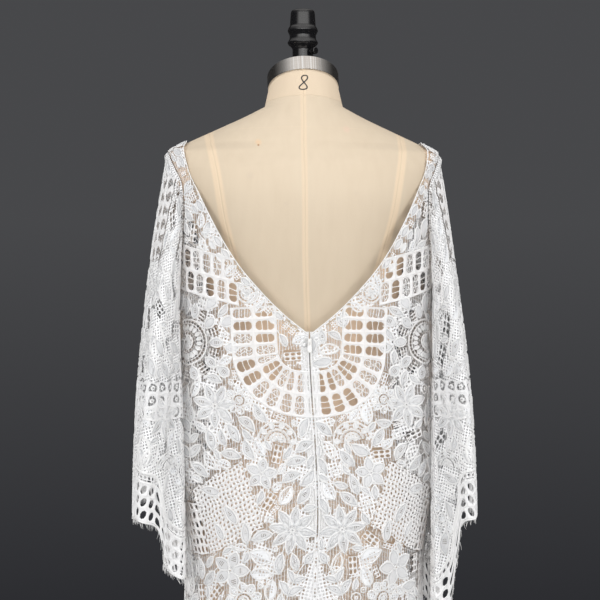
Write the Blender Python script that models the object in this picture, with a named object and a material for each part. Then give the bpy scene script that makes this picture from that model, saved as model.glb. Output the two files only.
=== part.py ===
"""Lace wedding gown with a deep V back, on a limbless dress form.

Metres, +Z up. The origin is the middle of the stand's base, on the floor.
The wearer's front faces -Y and the wearer's left is +X.
Angles round the body run from 0 at the centre back, through 90 at the wearer's
left side and 180 at the centre front, to 270 at the right side.
"""
import math
from collections import namedtuple

import bmesh
import bpy
from mathutils import Matrix, Vector

# ---------------------------------------------------------------- driving sizes
WALL = 0.0015                 # thickness of the lace
SEAM = 0.0002                 # each panel stops this far short of its seam line
TOUCH = 0.0003                # running gap between pieces that lie on each other
CLEAR = 0.0015                # the gown's inside stands this far off the form
LIFT = 0.0025                 # and this far above its shoulder

HEM_Z = 0.030
ZIP_END_Z = 0.872
V_POINT_Z = 1.109             # lowest point of the back neckline
UNDERARM_Z = 1.165
FRONT_NECK_Z = 1.280          # lowest point of the front neckline
SHOULDER_Z = 1.386            # shoulder seam at the neckline
SHOULDER_DROP = 0.016         # and how much lower it is at the sleeve
SLOPE_FROM_Z = 1.300          # rows below this one are level
SLIT = 0.0005                 # half the gap between the two sides of the zip
PANEL_COLUMNS = 11            # facets from the centre line to the side seam

BASE_RADIUS = 0.220
BASE_EDGE = 0.016
POLE_RADIUS = 0.016
POLE_FOOT_Z = 0.060
TORSO_FLOOR_Z = 0.700
TORSO_SIDES = 40              # facets round the torso, and its rows up to the neck
TORSO_ROWS = 13
SHOULDER_ROWS = 13
SHOULDERS_FROM_Z = 1.178      # the rows crowd together above this height
NECK_ROWS = 3
RING_RADIUS = 0.052
RING_HEIGHT = 0.0225
PLATE_RECESS = 0.002          # the plate inside the ring lies this far below its rim
RING_TILT = math.radians(27)  # the neck leans forward
RING_TOP = Vector((0, -0.018, 1.4835))

Section = namedtuple("Section", "z half_width back front square")

# The form, from the bottom of the torso to the root of the neck.
FORM = (
    Section(0.700, 0.151, 0.095, 0.090, 2.3),
    Section(0.780, 0.150, 0.110, 0.093, 2.25),
    Section(0.820, 0.149, 0.115, 0.095, 2.2),    # seat
    Section(0.900, 0.142, 0.110, 0.095, 2.2),
    Section(0.983, 0.130, 0.086, 0.088, 2.15),
    Section(1.060, 0.125, 0.070, 0.085, 2.1),    # waist
    Section(1.128, 0.133, 0.080, 0.094, 2.15),
    Section(1.193, 0.142, 0.094, 0.116, 2.2),
    Section(1.244, 0.152, 0.102, 0.130, 2.4),    # bust
    Section(1.302, 0.174, 0.108, 0.105, 2.6),    # shoulder blades
    Section(1.340, 0.189, 0.102, 0.084, 2.5),
    Section(1.366, 0.194, 0.089, 0.066, 2.1),    # shoulder tip
    Section(1.380, 0.174, 0.081, 0.057, 1.7),
    Section(1.400, 0.132, 0.074, 0.048, 1.6),
    Section(1.420, 0.091, 0.062, 0.047, 1.7),
    Section(1.436, 0.060, 0.054, 0.049, 1.95),
)

# The gown as it hangs. Higher up it lies on the form, so these sizes fall away.
GOWN = (
    Section(0.030, 0.320, 0.285, 0.285, 2.0),
    Section(0.300, 0.272, 0.225, 0.235, 2.1),
    Section(0.550, 0.218, 0.165, 0.180, 2.3),
    Section(0.720, 0.180, 0.130, 0.146, 2.5),
    Section(0.850, 0.181, 0.123, 0.138, 2.6),
    Section(0.950, 0.185, 0.110, 0.136, 2.65),
    Section(1.060, 0.185, 0.097, 0.135, 2.7),
    Section(1.109, 0.185, 0.095, 0.135, 2.7),
    Section(1.180, 0.185, 0.100, 0.135, 2.7),
    Section(1.244, 0.185, 0.105, 0.134, 2.7),
    Section(1.302, 0.184, 0.100, 0.100, 2.6),
    Section(1.345, 0.180, 0.080, 0.070, 2.2),
    Section(1.400, 0.050, 0.030, 0.030, 1.6),
)

Neck = namedtuple("Neck", "z x")
BACK_NECK = (
    Neck(V_POINT_Z, 0.000), Neck(1.138, 0.036), Neck(1.170, 0.068), Neck(1.203, 0.096),
    Neck(1.237, 0.118), Neck(1.271, 0.136), Neck(1.307, 0.153), Neck(1.341, 0.1675),
    Neck(1.3725, 0.1735), Neck(SHOULDER_Z, 0.168),
)
FRONT_NECK = (
    Neck(FRONT_NECK_Z, 0.000), Neck(1.288, 0.040), Neck(1.300, 0.080), Neck(1.314, 0.113),
    Neck(1.329, 0.139), Neck(1.345, 0.159), Neck(1.3725, 0.1735), Neck(SHOULDER_Z, 0.168),
)

# The armhole is an oval on the gown's side: how far it reaches round the body.
ARMHOLE_TOP_Z = SHOULDER_Z - SHOULDER_DROP
ARMHOLE_MIDDLE_Z = (ARMHOLE_TOP_Z + UNDERARM_Z) / 2
ARMHOLE_HALF_HEIGHT = (ARMHOLE_TOP_Z - UNDERARM_Z) / 2
ARMHOLE_REACH_BACK = 24.0
ARMHOLE_REACH_FRONT = 27.0

# Heights of the panels' rows: zone ends, rows in the zone, and how they crowd upwards.
Zone = namedtuple("Zone", "z rows crowding")
ZONES = (
    Zone(0.700, 9, 1.0), Zone(V_POINT_Z, 9, 1.0), Zone(UNDERARM_Z, 3, 1.0),
    Zone(FRONT_NECK_Z, 5, 1.0), Zone(SHOULDER_Z, 8, 1.5),
)

# Soft folds of the skirt: where round the body, how wide, and how deep at the hem.
FOLDS_FROM_Z = 0.930
FOLD_POWER = 1.25
Fold = namedtuple("Fold", "degrees reach depth")
FOLDS = (
    Fold(14, 15, 0.017), Fold(41, 14, 0.026), Fold(70, 16, 0.021), Fold(99, 14, 0.025),
    Fold(129, 17, 0.028), Fold(158, 13, 0.019), Fold(186, 15, 0.026), Fold(217, 16, 0.022),
    Fold(246, 14, 0.027), Fold(275, 15, 0.020), Fold(305, 15, 0.026), Fold(336, 14, 0.018),
)

# A bell sleeve hangs empty, edge on: its hem loop from the outer edge round the back.
# share is the way round the loop, x and y the place, then the hem height on each side.
SleeveFold = namedtuple("SleeveFold", "share x y left_z right_z")
SLEEVE_FOLDS = (
    SleeveFold(0.00, 0.2445, 0.000, 0.862, 0.864),    # outer edge
    SleeveFold(0.09, 0.2430, 0.072, 0.860, 0.861),
    SleeveFold(0.17, 0.2270, 0.136, 0.862, 0.860),    # outer ridge, behind
    SleeveFold(0.24, 0.2055, 0.110, 0.849, 0.846),
    SleeveFold(0.285, 0.2000, 0.097, 0.794, 0.745),   # the hem drops beside the ridge
    SleeveFold(0.33, 0.1880, 0.093, 0.782, 0.718),    # valley, behind
    SleeveFold(0.38, 0.1755, 0.099, 0.778, 0.711),    # inner ridge, behind
    SleeveFold(0.42, 0.1750, 0.078, 0.777, 0.707),
    SleeveFold(0.46, 0.1900, 0.042, 0.777, 0.704),
    SleeveFold(0.50, 0.2020, 0.000, 0.778, 0.702),    # under seam, beside the skirt
    SleeveFold(0.56, 0.1930, -0.058, 0.779, 0.712),
    SleeveFold(0.61, 0.1785, -0.098, 0.781, 0.727),
    SleeveFold(0.66, 0.1860, -0.116, 0.786, 0.750),   # inner ridge, in front
    SleeveFold(0.72, 0.1970, -0.099, 0.812, 0.790),   # valley, in front
    SleeveFold(0.80, 0.2180, -0.134, 0.855, 0.850),   # outer ridge, in front
    SleeveFold(0.91, 0.2420, -0.070, 0.861, 0.862),
)
SLEEVE_ROWS = 10
SLEEVE_FLARE = 1.9            # how soon the sleeve has its full width
SLEEVE_OFF = 0.004            # the sleeve hangs this far off the body of the gown
FRINGE_LENGTH = 0.008
FRINGE_WALL = 0.0006

TAPE_WALL = 0.001
TAPE_WIDTH = 0.012
TAPE_ABOVE = 0.004            # the tape ends stand above the V point
TAPE_BELOW = 0.040            # and reach at most this far below the closed end
ALLOWANCE_WIDTH = 0.017       # seam allowances pressed open under the seam
ALLOWANCES_BELOW_ZIP = (0.006, 0.003)    # the last two rows, where the tapes begin

SLIDER_Z = V_POINT_Z - 0.010
PULL_LENGTH = 0.0145
PULL_WIDTH = 0.0055

SCREW_Z = 1.519
SCREW_WAY = math.radians(50)   # the thumb screw points to the right and this far backwards
FINIAL_STEM = 0.0150


# ---------------------------------------------------------------- helpers
def clear_scene():
    for item in list(bpy.data.objects):
        bpy.data.objects.remove(item, do_unlink=True)


def material(name, colour, roughness, metallic=0.0):
    made = bpy.data.materials.get(name)
    if made:
        return made
    made = bpy.data.materials.new(name)
    made.use_nodes = True
    shader = made.node_tree.nodes["Principled BSDF"]
    shader.inputs["Base Color"].default_value = (*colour, 1)
    shader.inputs["Roughness"].default_value = roughness
    shader.inputs["Metallic"].default_value = metallic
    return made


def lace():
    return material("white_lace", (0.86, 0.86, 0.87), 0.7)


def linen():
    return material("cream_linen", (0.79, 0.66, 0.50), 0.85)


def steel():
    return material("brushed_steel", (0.55, 0.54, 0.53), 0.35, 1.0)


def black():
    return material("black_turned", (0.012, 0.012, 0.013), 0.4)


def stand_metal():
    return material("stand_metal", (0.05, 0.05, 0.052), 0.5, 0.6)


def nylon():
    return material("white_nylon", (0.83, 0.82, 0.80), 0.45)


def add_object(name, bm, finish, smooth=50.0):
    bmesh.ops.recalc_face_normals(bm, faces=bm.faces)
    mesh = bpy.data.meshes.new(name)
    bm.to_mesh(mesh)
    bm.free()
    mesh.shade_smooth()
    mesh.set_sharp_from_angle(angle=math.radians(smooth))
    made = bpy.data.objects.new(name, mesh)
    made.data.materials.append(finish)
    bpy.context.scene.collection.objects.link(made)
    return made


def thicken(sheet, thickness, outward):
    solidify = sheet.modifiers.new("thickness", "SOLIDIFY")
    solidify.thickness = thickness
    solidify.offset = 1 if outward else -1


def read(rows, key):
    """The row at a height or share, on a smooth curve that never overshoots the rows."""
    def rise(i, field):
        return (rows[i + 1][field] - rows[i][field]) / (rows[i + 1][0] - rows[i][0])

    def slope(i, field):
        if i in (0, len(rows) - 1):
            return rise(min(i, len(rows) - 2), field)
        before, after = rise(i - 1, field), rise(i, field)
        return 2 * before * after / (before + after) if before * after > 0 else 0.0

    key = min(max(key, rows[0][0]), rows[-1][0])
    i = max(k for k in range(len(rows) - 1) if rows[k][0] <= key)
    span = rows[i + 1][0] - rows[i][0]
    t = (key - rows[i][0]) / span
    values = [key]
    for field in range(1, len(rows[0])):
        values.append((2 * t ** 3 - 3 * t ** 2 + 1) * rows[i][field]
                      + (t ** 3 - 2 * t ** 2 + t) * span * slope(i, field)
                      + (3 * t ** 2 - 2 * t ** 3) * rows[i + 1][field]
                      + (t ** 3 - t ** 2) * span * slope(i + 1, field))
    return type(rows[0])(*values)


def ring_point(section, degrees):
    """A point of a squared ellipse, deeper or shallower in front than behind."""
    turn = math.radians(degrees)
    side, depth = math.sin(turn), math.cos(turn)
    reach = section.back if depth > 0 else section.front
    power = 2 / section.square
    return Vector((math.copysign(section.half_width * abs(side) ** power, side),
                   math.copysign(reach * abs(depth) ** power, depth), section.z))


def angle_at(section, x):
    """The angle from the centre line at which the section is x wide."""
    return math.degrees(math.asin(min(1.0, (x / section.half_width) ** (section.square / 2))))


def outward(section, point):
    """The level direction that points away from the section's edge."""
    reach = section.back if point.y > 0 else section.front
    power = section.square - 1
    across = math.copysign(abs(point.x / section.half_width) ** power, point.x) / section.half_width
    behind = math.copysign(abs(point.y / reach) ** power, point.y) / reach
    return Vector((across, behind, 0)).normalized()


def along_ring(section, start, end, distance_at):
    """The place on the section's edge at distance_at(length) from the start angle."""
    steps = 60
    points = [ring_point(section, start + (end - start) * k / steps) for k in range(steps + 1)]
    lengths = [0.0]
    for before, after in zip(points, points[1:]):
        lengths.append(lengths[-1] + (after - before).length)
    distance = min(max(distance_at(lengths[-1]), 0.0), lengths[-1])
    k = max(i for i in range(steps) if lengths[i] <= distance)
    piece = max(lengths[k + 1] - lengths[k], 1e-9)
    return points[k].lerp(points[k + 1], (distance - lengths[k]) / piece)


def gown_section(z):
    """The gown hangs on its own sizes, and is never nearer the form than CLEAR."""
    hang, body = read(GOWN, z), read(FORM, z - LIFT)
    return Section(z, max(hang.half_width, body.half_width + CLEAR),
                   max(hang.back, body.back + CLEAR), max(hang.front, body.front + CLEAR),
                   max(hang.square, body.square))


def fold_depth(degrees, z):
    if z >= FOLDS_FROM_Z:
        return 0.0
    ramp = ((FOLDS_FROM_Z - z) / (FOLDS_FROM_Z - HEM_Z)) ** FOLD_POWER
    depth = 0.0
    for fold in FOLDS:
        away = abs((degrees - fold.degrees + 180) % 360 - 180) / fold.reach
        if away < 1:
            depth += fold.depth * math.cos(away * math.pi / 2) ** 2
    return depth * ramp


def row_heights():
    heights, start = [HEM_Z], HEM_Z
    for zone in ZONES:
        for k in range(1, zone.rows + 1):
            share = 1 - (1 - k / zone.rows) ** zone.crowding
            heights.append(start + (zone.z - start) * share)
        start = zone.z
    return heights


def armhole_reach(z, front):
    away = (z - ARMHOLE_MIDDLE_Z) / ARMHOLE_HALF_HEIGHT
    reach = ARMHOLE_REACH_FRONT if front else ARMHOLE_REACH_BACK
    return reach * math.sqrt(max(0.0, 1 - away * away))


def gown_point(share, height, side, front, centre_gap):
    """A point of a panel: share 0 is its neckline or centre line, 1 its side or armhole.

    side is 1 on the wearer's left and -1 on the right.
    """
    slope = min(max((height - SLOPE_FROM_Z) / (SHOULDER_Z - SLOPE_FROM_Z), 0.0), 1.0)
    z = height - SHOULDER_DROP * slope * share
    section = gown_section(z)
    if height >= SHOULDER_Z - 1e-6:
        start = end = 90.0
    else:
        necks, neck_low = (FRONT_NECK, FRONT_NECK_Z) if front else (BACK_NECK, V_POINT_Z)
        start = angle_at(section, read(necks, z).x) if z > neck_low else 0.0
        end = 90.0 - armhole_reach(z, front)
        start = min(start, end)
    if start == end:
        point = ring_point(section, start)
        point.y += -SEAM if front else SEAM
        degrees = start
    else:
        first = centre_gap if start == 0.0 else 0.0
        if front:
            edges = (180 - start, 180 - end)
        else:
            edges = (start, end)
        point = along_ring(section, *edges, lambda length: first + share * (length - first - SEAM))
        degrees = math.degrees(math.atan2(point.x / section.half_width,
                                          point.y / (section.front if point.y < 0 else section.back)))
    around = degrees if side > 0 else 360 - degrees
    point += outward(section, point) * fold_depth(around, z)
    point.x *= side
    return point


def panel_grid(side, front, centre_gap):
    return [[gown_point(k / PANEL_COLUMNS, height, side, front, centre_gap)
             for k in range(PANEL_COLUMNS + 1)] for height in row_heights()]


def fill_grid(bm, grid, closed=False):
    rows = [[bm.verts.new(point) for point in row] for row in grid]
    columns = len(rows[0])
    for below, above in zip(rows, rows[1:]):
        for k in range(columns if closed else columns - 1):
            n = (k + 1) % columns
            bm.faces.new((below[k], below[n], above[n], above[k]))
    return rows


def loft(name, rings, finish, smooth=50.0):
    """A closed solid through rings of equal length, capped at both ends."""
    bm = bmesh.new()
    rows = fill_grid(bm, rings, closed=True)
    for ring in (rows[0], rows[-1]):
        bm.faces.new(ring)
    return add_object(name, bm, finish, smooth)


def turned(name, profile, finish, turn=Matrix(), steps=32, smooth=35.0):
    """A turned solid: profile runs from the axis, out and up, back to the axis."""
    bm = bmesh.new()
    verts = [bm.verts.new((radius, 0, z)) for radius, z in profile]
    edges = [bm.edges.new(pair) for pair in zip(verts, verts[1:])]
    bmesh.ops.spin(bm, geom=verts + edges, cent=(0, 0, 0), axis=(0, 0, 1),
                   angle=math.tau, steps=steps)
    bmesh.ops.remove_doubles(bm, verts=bm.verts, dist=1e-6)
    bmesh.ops.dissolve_degenerate(bm, edges=bm.edges, dist=1e-7)
    bmesh.ops.transform(bm, matrix=turn, verts=bm.verts)
    return add_object(name, bm, finish, smooth)


def box(bm, low, high):
    size = Vector(high) - Vector(low)
    middle = (Vector(high) + Vector(low)) / 2
    bmesh.ops.create_cube(bm, size=1, matrix=Matrix.Translation(middle) @ Matrix.Diagonal((*size, 1)))


# ---------------------------------------------------------------- the form and its stand
def build_torso():
    """The linen-covered body, whole, with closed armholes and the leaning neck."""
    top_z = FORM[-1].z
    rise = SHOULDERS_FROM_Z - TORSO_FLOOR_Z
    heights = [TORSO_FLOOR_Z + rise * k / TORSO_ROWS for k in range(TORSO_ROWS)]
    heights += [SHOULDERS_FROM_Z + (top_z - SHOULDERS_FROM_Z) * (1 - (1 - k / SHOULDER_ROWS) ** 1.3)
                for k in range(SHOULDER_ROWS + 1)]
    quarter = TORSO_SIDES // 4
    rings = []
    for z in heights:
        section = read(FORM, z)
        ring = []
        for start in (0, 90, 180, 270):
            for k in range(quarter):
                ring.append(along_ring(section, start, start + 90,
                                       lambda length, k=k: length * k / quarter))
        rings.append(ring)
    root = rings[-1]
    lean = Matrix.Rotation(RING_TILT, 4, "X")
    seat = RING_TOP + lean @ Vector((0, 0, -RING_HEIGHT - TOUCH))
    neck_radius = RING_RADIUS - WALL
    for row in range(1, NECK_ROWS + 1):
        ring = []
        for point in root:
            turn = math.atan2(point.x, point.y)
            top = seat + lean @ Vector((neck_radius * math.sin(turn), neck_radius * math.cos(turn), 0))
            ring.append(point.lerp(top, row / NECK_ROWS))
        rings.append(ring)
    return loft("torso", rings, linen())


def build_neck_ring():
    edge = 0.0012
    profile = [(0, -RING_HEIGHT), (RING_RADIUS - edge, -RING_HEIGHT), (RING_RADIUS, -RING_HEIGHT + edge),
               (RING_RADIUS, -edge), (RING_RADIUS - edge, 0), (RING_RADIUS - 0.004, 0),
               (RING_RADIUS - 0.005, -PLATE_RECESS), (0, -PLATE_RECESS)]
    place = Matrix.Translation(RING_TOP) @ Matrix.Rotation(RING_TILT, 4, "X")
    return turned("neck_ring", profile, steel(), place, steps=48)


def build_finial():
    """The turned black top of the pole, cut to the leaning plate that it stands on."""
    profile = [(0, 1.470), (FINIAL_STEM, 1.470), (FINIAL_STEM, 1.5235), (0.0172, 1.5268), (0.0206, 1.5295),
               (0.0226, 1.5327), (0.0206, 1.5360), (0.0193, 1.5385), (0.0192, 1.5435), (0.0204, 1.5462),
               (0.0223, 1.5503), (0.0207, 1.5545), (0.0188, 1.5572), (0.0186, 1.5620), (0.0176, 1.5760),
               (0.0166, 1.5795), (0.0125, 1.5812), (0, 1.5815)]
    finial = turned("finial", profile, black(), Matrix.Translation((0, RING_TOP.y, 0)))
    bm = bmesh.new()
    bm.from_mesh(finial.data)
    normal = Matrix.Rotation(RING_TILT, 3, "X") @ Vector((0, 0, 1))
    plane = RING_TOP + normal * (TOUCH - PLATE_RECESS)
    cut = bmesh.ops.bisect_plane(bm, geom=bm.verts[:] + bm.edges[:] + bm.faces[:], plane_co=plane,
                                 plane_no=normal, clear_inner=True)
    bmesh.ops.holes_fill(bm, edges=[e for e in cut["geom_cut"] if isinstance(e, bmesh.types.BMEdge)])
    bmesh.ops.recalc_face_normals(bm, faces=bm.faces)
    bm.to_mesh(finial.data)
    bm.free()
    return finial


def build_finial_screw():
    """The thumb screw in the finial's stem: a thin shank and a small knob."""
    profile = [(0, 0), (0.0022, 0), (0.0022, 0.0045), (0.0045, 0.0048), (0.0050, 0.0056),
               (0.0050, 0.0112), (0.0043, 0.0120), (0, 0.0120)]
    reach = FINIAL_STEM + TOUCH
    start = Vector((-math.cos(SCREW_WAY) * reach, RING_TOP.y + math.sin(SCREW_WAY) * reach, SCREW_Z))
    turn = Matrix.Translation(start) @ Matrix.Rotation(-SCREW_WAY, 4, "Z") @ Matrix.Rotation(math.radians(-90), 4, "Y")
    return turned("finial_screw", profile, black(), turn, steps=16)


def build_stand():
    base = [(0, 0), (BASE_RADIUS - 0.003, 0), (BASE_RADIUS, 0.003), (BASE_RADIUS, BASE_EDGE - 0.004),
            (BASE_RADIUS - 0.004, BASE_EDGE), (0.060, 0.024), (0.034, 0.030), (0.028, 0.040),
            (0.028, POLE_FOOT_Z - 0.002), (0.026, POLE_FOOT_Z), (0, POLE_FOOT_Z)]
    turned("base", base, stand_metal(), steps=48)
    foot, head = POLE_FOOT_Z + TOUCH, TORSO_FLOOR_Z - TOUCH
    collar = 0.026
    pole = [(0, foot), (POLE_RADIUS, foot), (POLE_RADIUS, head - 0.022), (collar, head - 0.020),
            (collar, head), (0, head)]
    turned("pole", pole, stand_metal(), steps=24)


# ---------------------------------------------------------------- the gown
def build_back(side, name):
    bm = bmesh.new()
    grid = panel_grid(side, False, SLIT)
    fill_grid(bm, grid)
    panel = add_object(name, bm, lace())
    face_out(panel)
    thicken(panel, WALL, True)
    return grid


def build_front():
    """Both halves meet at the centre front, below the neckline."""
    bm = bmesh.new()
    for side in (1, -1):
        fill_grid(bm, panel_grid(side, True, 0.0))
    low = [v for v in bm.verts if abs(v.co.x) < 1e-6]
    bmesh.ops.remove_doubles(bm, verts=low, dist=1e-5)
    panel = add_object("front", bm, lace())
    face_out(panel)
    thicken(panel, WALL, True)


def face_out(sheet):
    """Turn an open sheet's faces away from the body's upright axis."""
    bm = bmesh.new()
    bm.from_mesh(sheet.data)
    bmesh.ops.recalc_face_normals(bm, faces=bm.faces)
    leaning = sum(face.normal.dot(Vector((face.calc_center_median().x, face.calc_center_median().y, 0)))
                  for face in bm.faces)
    if leaning < 0:
        bmesh.ops.reverse_faces(bm, faces=bm.faces)
    bm.to_mesh(sheet.data)
    bm.free()


def armhole_points(side):
    """The sleeve's top loop: the panels' armhole edges, moved a seam's width into the hole."""
    heights = [z for z in row_heights() if z >= UNDERARM_Z - 1e-6]
    shares = []
    for front in (False, True):
        rows = []
        for height in heights:
            slope = min(max((height - SLOPE_FROM_Z) / (SHOULDER_Z - SLOPE_FROM_Z), 0.0), 1.0)
            z = height - SHOULDER_DROP * slope
            section = gown_section(z)
            edge = 90.0 - armhole_reach(z, front)
            if front:
                edge = 180 - edge
            reach = (ring_point(section, 90) - ring_point(section, edge)).length
            rows.append((z, reach))
        shares.append(rows)
    loop = [(z, reach, False) for z, reach in reversed(shares[0])]
    loop += [(z, reach, True) for z, reach in shares[1][1:-1]]
    points = []
    for z, reach, front in loop:
        away = math.hypot(z - ARMHOLE_MIDDLE_Z, reach)
        low = ((ARMHOLE_TOP_Z - z) / (2 * ARMHOLE_HALF_HEIGHT)) ** 3
        gap = TOUCH * (2.5 + 6 * low)
        z -= gap * (z - ARMHOLE_MIDDLE_Z) / away
        reach -= gap * reach / away
        section = gown_section(z)
        turn = (90, 180) if front else (90, 0)
        point = along_ring(section, *turn, lambda length, reach=reach: reach)
        point += outward(section, point) * (WALL + TOUCH * (2 + 8 * low))
        point.x *= side
        points.append(point)
    return points


def hem_loop(side, count):
    """The sleeve's hem: a smooth closed curve through the fold table."""
    total = len(SLEEVE_FOLDS)

    def control(k):
        row = SLEEVE_FOLDS[k % total]
        return Vector((row.x * side, row.y, row.left_z if side > 0 else row.right_z))

    shares = [row.share for row in SLEEVE_FOLDS] + [1.0]
    points = []
    for n in range(count):
        share = n / count
        k = max(i for i in range(total) if shares[i] <= share + 1e-9)
        t = (share - shares[k]) / (shares[k + 1] - shares[k])
        a, b, c, d = (control(k + step) for step in (-1, 0, 1, 2))
        points.append(0.5 * (2 * b + (c - a) * t + (2 * a - 5 * b + 4 * c - d) * t ** 2
                             + (3 * b - a - 3 * c + d) * t ** 3))
    return points


def keep_off_gown(point, gap):
    """Move a point of the sleeve out, so that it hangs beside the body of the gown."""
    section = gown_section(point.z)
    degrees = math.degrees(math.atan2(point.x / section.half_width, point.y / section.back)) % 360
    room = WALL + gap + fold_depth(degrees, point.z)
    reach = (section.back if point.y > 0 else section.front) + room
    inside = ((abs(point.x) / (section.half_width + room)) ** section.square
              + (abs(point.y) / reach) ** section.square)
    if inside < 1:
        out = inside ** (-1 / section.square)
        return Vector((point.x * out, point.y * out, point.z))
    return point


def build_sleeve(side, name):
    top = armhole_points(side)
    hem = hem_loop(side, len(top))
    rings = [top]
    for row in range(1, SLEEVE_ROWS + 1):
        fall = row / SLEEVE_ROWS
        spread = 1 - (1 - fall) ** SLEEVE_FLARE
        ring = []
        for a, b in zip(top, hem):
            point = Vector((a.x + (b.x - a.x) * spread, a.y + (b.y - a.y) * spread,
                            a.z + (b.z - a.z) * fall))
            ring.append(keep_off_gown(point, SLEEVE_OFF))
        rings.append(ring)
    bm = bmesh.new()
    fill_grid(bm, rings, closed=True)
    sleeve = add_object(name, bm, lace())
    face_tube_out(sleeve)
    thicken(sleeve, WALL, False)
    return rings


def face_tube_out(tube):
    """Turn an open tube's faces away from the middle of their own row."""
    bm = bmesh.new()
    bm.from_mesh(tube.data)
    bmesh.ops.recalc_face_normals(bm, faces=bm.faces)
    middle = sum((v.co for v in bm.verts), Vector()) / len(bm.verts)
    leaning = sum(face.normal.x * (face.calc_center_median().x - middle.x) for face in bm.faces)
    if leaning < 0:
        bmesh.ops.reverse_faces(bm, faces=bm.faces)
    bm.to_mesh(tube.data)
    bm.free()


def build_fringe(rings, name):
    """A plain band of the short loose threads' reach, square to the sleeve's hem."""
    above, hem = rings[-2], rings[-1]
    top, low = [], []
    for k, point in enumerate(hem):
        along = (hem[(k + 1) % len(hem)] - hem[k - 1]).normalized()
        down = (point - above[k]).normalized()
        away = (down - along * down.dot(along)).normalized()
        top.append(point + away * 3 * TOUCH)
        low.append(point + away * FRINGE_LENGTH)
    bm = bmesh.new()
    fill_grid(bm, [top, low], closed=True)
    band = add_object(name, bm, lace())
    face_tube_out(band)
    thicken(band, FRINGE_WALL, False)


def strip_under(grid, name, side, rows, widths, finish, lift_top=0.0):
    """A strip against the inside of a back panel's centre edge, from the panel's own points."""
    inner, outer = [], []
    for row, width in zip(rows, widths):
        edge, beside = grid[row][0], grid[row][1]
        along = (beside - edge).normalized()
        inward = Vector((along.y * side, -along.x * side, 0)).normalized()
        for depth, line in ((TOUCH, outer), (TOUCH + TAPE_WALL, inner)):
            base = edge + inward * depth
            line.append((base + along * TOUCH, base + along * width))
    for line in (inner, outer):
        line[-1] = tuple(point + Vector((0, 0, lift_top)) for point in line[-1])
    bm = bmesh.new()
    rings = []
    for (a, b), (c, d) in zip(inner, outer):
        rings.append([bm.verts.new(point) for point in (a, b, d, c)])
    for below, above in zip(rings, rings[1:]):
        for k in range(4):
            bm.faces.new((below[k], below[(k + 1) % 4], above[(k + 1) % 4], above[k]))
    bm.faces.new(rings[0])
    bm.faces.new(rings[-1])
    return add_object(name, bm, finish, smooth=30.0)


def build_zip_and_allowances(side, grid, label):
    heights = row_heights()
    zip_rows = [k for k, z in enumerate(heights) if ZIP_END_Z - TAPE_BELOW <= z <= V_POINT_Z + 1e-6]
    seam_rows = list(range(zip_rows[0] + 1))
    strip_under(grid, "zip_tape_" + label, side, zip_rows, [TAPE_WIDTH] * len(zip_rows), nylon(), TAPE_ABOVE)
    widths = [ALLOWANCE_WIDTH] * (len(seam_rows) - 2) + list(ALLOWANCES_BELOW_ZIP)
    strip_under(grid, "seam_allowance_" + label, side, seam_rows, widths, lace(), -TOUCH)


def cloth_back_at(grid, z):
    """How far behind the axis the outside of the back panel is at the centre line."""
    heights = row_heights()
    for k in range(len(heights) - 1):
        if heights[k] <= z <= heights[k + 1]:
            share = (z - heights[k]) / (heights[k + 1] - heights[k])
            return grid[k][0].lerp(grid[k + 1][0], share).y + WALL
    return grid[-1][0].y + WALL


def build_zip_slider(grid):
    """The slider's face plate and the bridge that the pull hangs on."""
    face = cloth_back_at(grid, SLIDER_Z - 0.0045) + 2 * TOUCH
    bm = bmesh.new()
    box(bm, (-0.0026, face, SLIDER_Z - 0.0045), (0.0026, face + 0.0015, SLIDER_Z + 0.0045))
    body = add_object("zip_slider", bm, nylon())
    bm = bmesh.new()
    outline = [(face + 0.0010, -0.0020), (face + 0.0038, -0.0020), (face + 0.0043, -0.0014),
               (face + 0.0043, 0.0024), (face + 0.0038, 0.0030), (face + 0.0010, 0.0030),
               (face + 0.0010, 0.0021), (face + 0.0032, 0.0021), (face + 0.0032, -0.0011),
               (face + 0.0010, -0.0011)]
    flat = [bm.verts.new((-0.0006, y, SLIDER_Z + z)) for y, z in outline]
    made = bmesh.ops.extrude_face_region(bm, geom=[bm.faces.new(flat)])
    moved = [v for v in made["geom"] if isinstance(v, bmesh.types.BMVert)]
    bmesh.ops.translate(bm, verts=moved, vec=(0.0012, 0, 0))
    bridge = add_object("bridge", bm, nylon())
    union = body.modifiers.new("bridge", "BOOLEAN")
    union.operation = "UNION"
    union.object = bridge
    bridge.hide_render = True
    bridge.display_type = "WIRE"
    return Vector((0, face + 0.0024, SLIDER_Z - 0.0003))


def build_zip_pull(pivot):
    """A flat tab with a slot at its top; the bar above the slot hangs on the bridge."""
    half = PULL_WIDTH / 2
    thick = 0.0005
    outer = [(-0.0022, 0.0005), (0.0022, 0.0005), (0.0022, -0.0048), (half, -0.0068),
             (half, -PULL_LENGTH + 0.0022), (half - 0.0016, -PULL_LENGTH),
             (-half + 0.0016, -PULL_LENGTH), (-half, -PULL_LENGTH + 0.0022), (-half, -0.0068),
             (-0.0022, -0.0048)]
    slot = [(-0.0011, -0.0005), (0.0011, -0.0005), (0.0011, -0.0042), (-0.0011, -0.0042)]
    bm = bmesh.new()
    edges = []
    for line in (outer, slot):
        verts = [bm.verts.new((x, -thick, z)) for x, z in line]
        edges += [bm.edges.new((verts[k], verts[(k + 1) % len(verts)])) for k in range(len(verts))]
    plate = bmesh.ops.triangle_fill(bm, edges=edges, use_beauty=True)
    faces = [g for g in plate["geom"] if isinstance(g, bmesh.types.BMFace)]
    made = bmesh.ops.extrude_face_region(bm, geom=faces)
    moved = [v for v in made["geom"] if isinstance(v, bmesh.types.BMVert)]
    bmesh.ops.translate(bm, verts=moved, vec=(0, 2 * thick, 0))
    pull = add_object("zip_pull", bm, nylon())
    pull.location = pivot
    return pull


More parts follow.
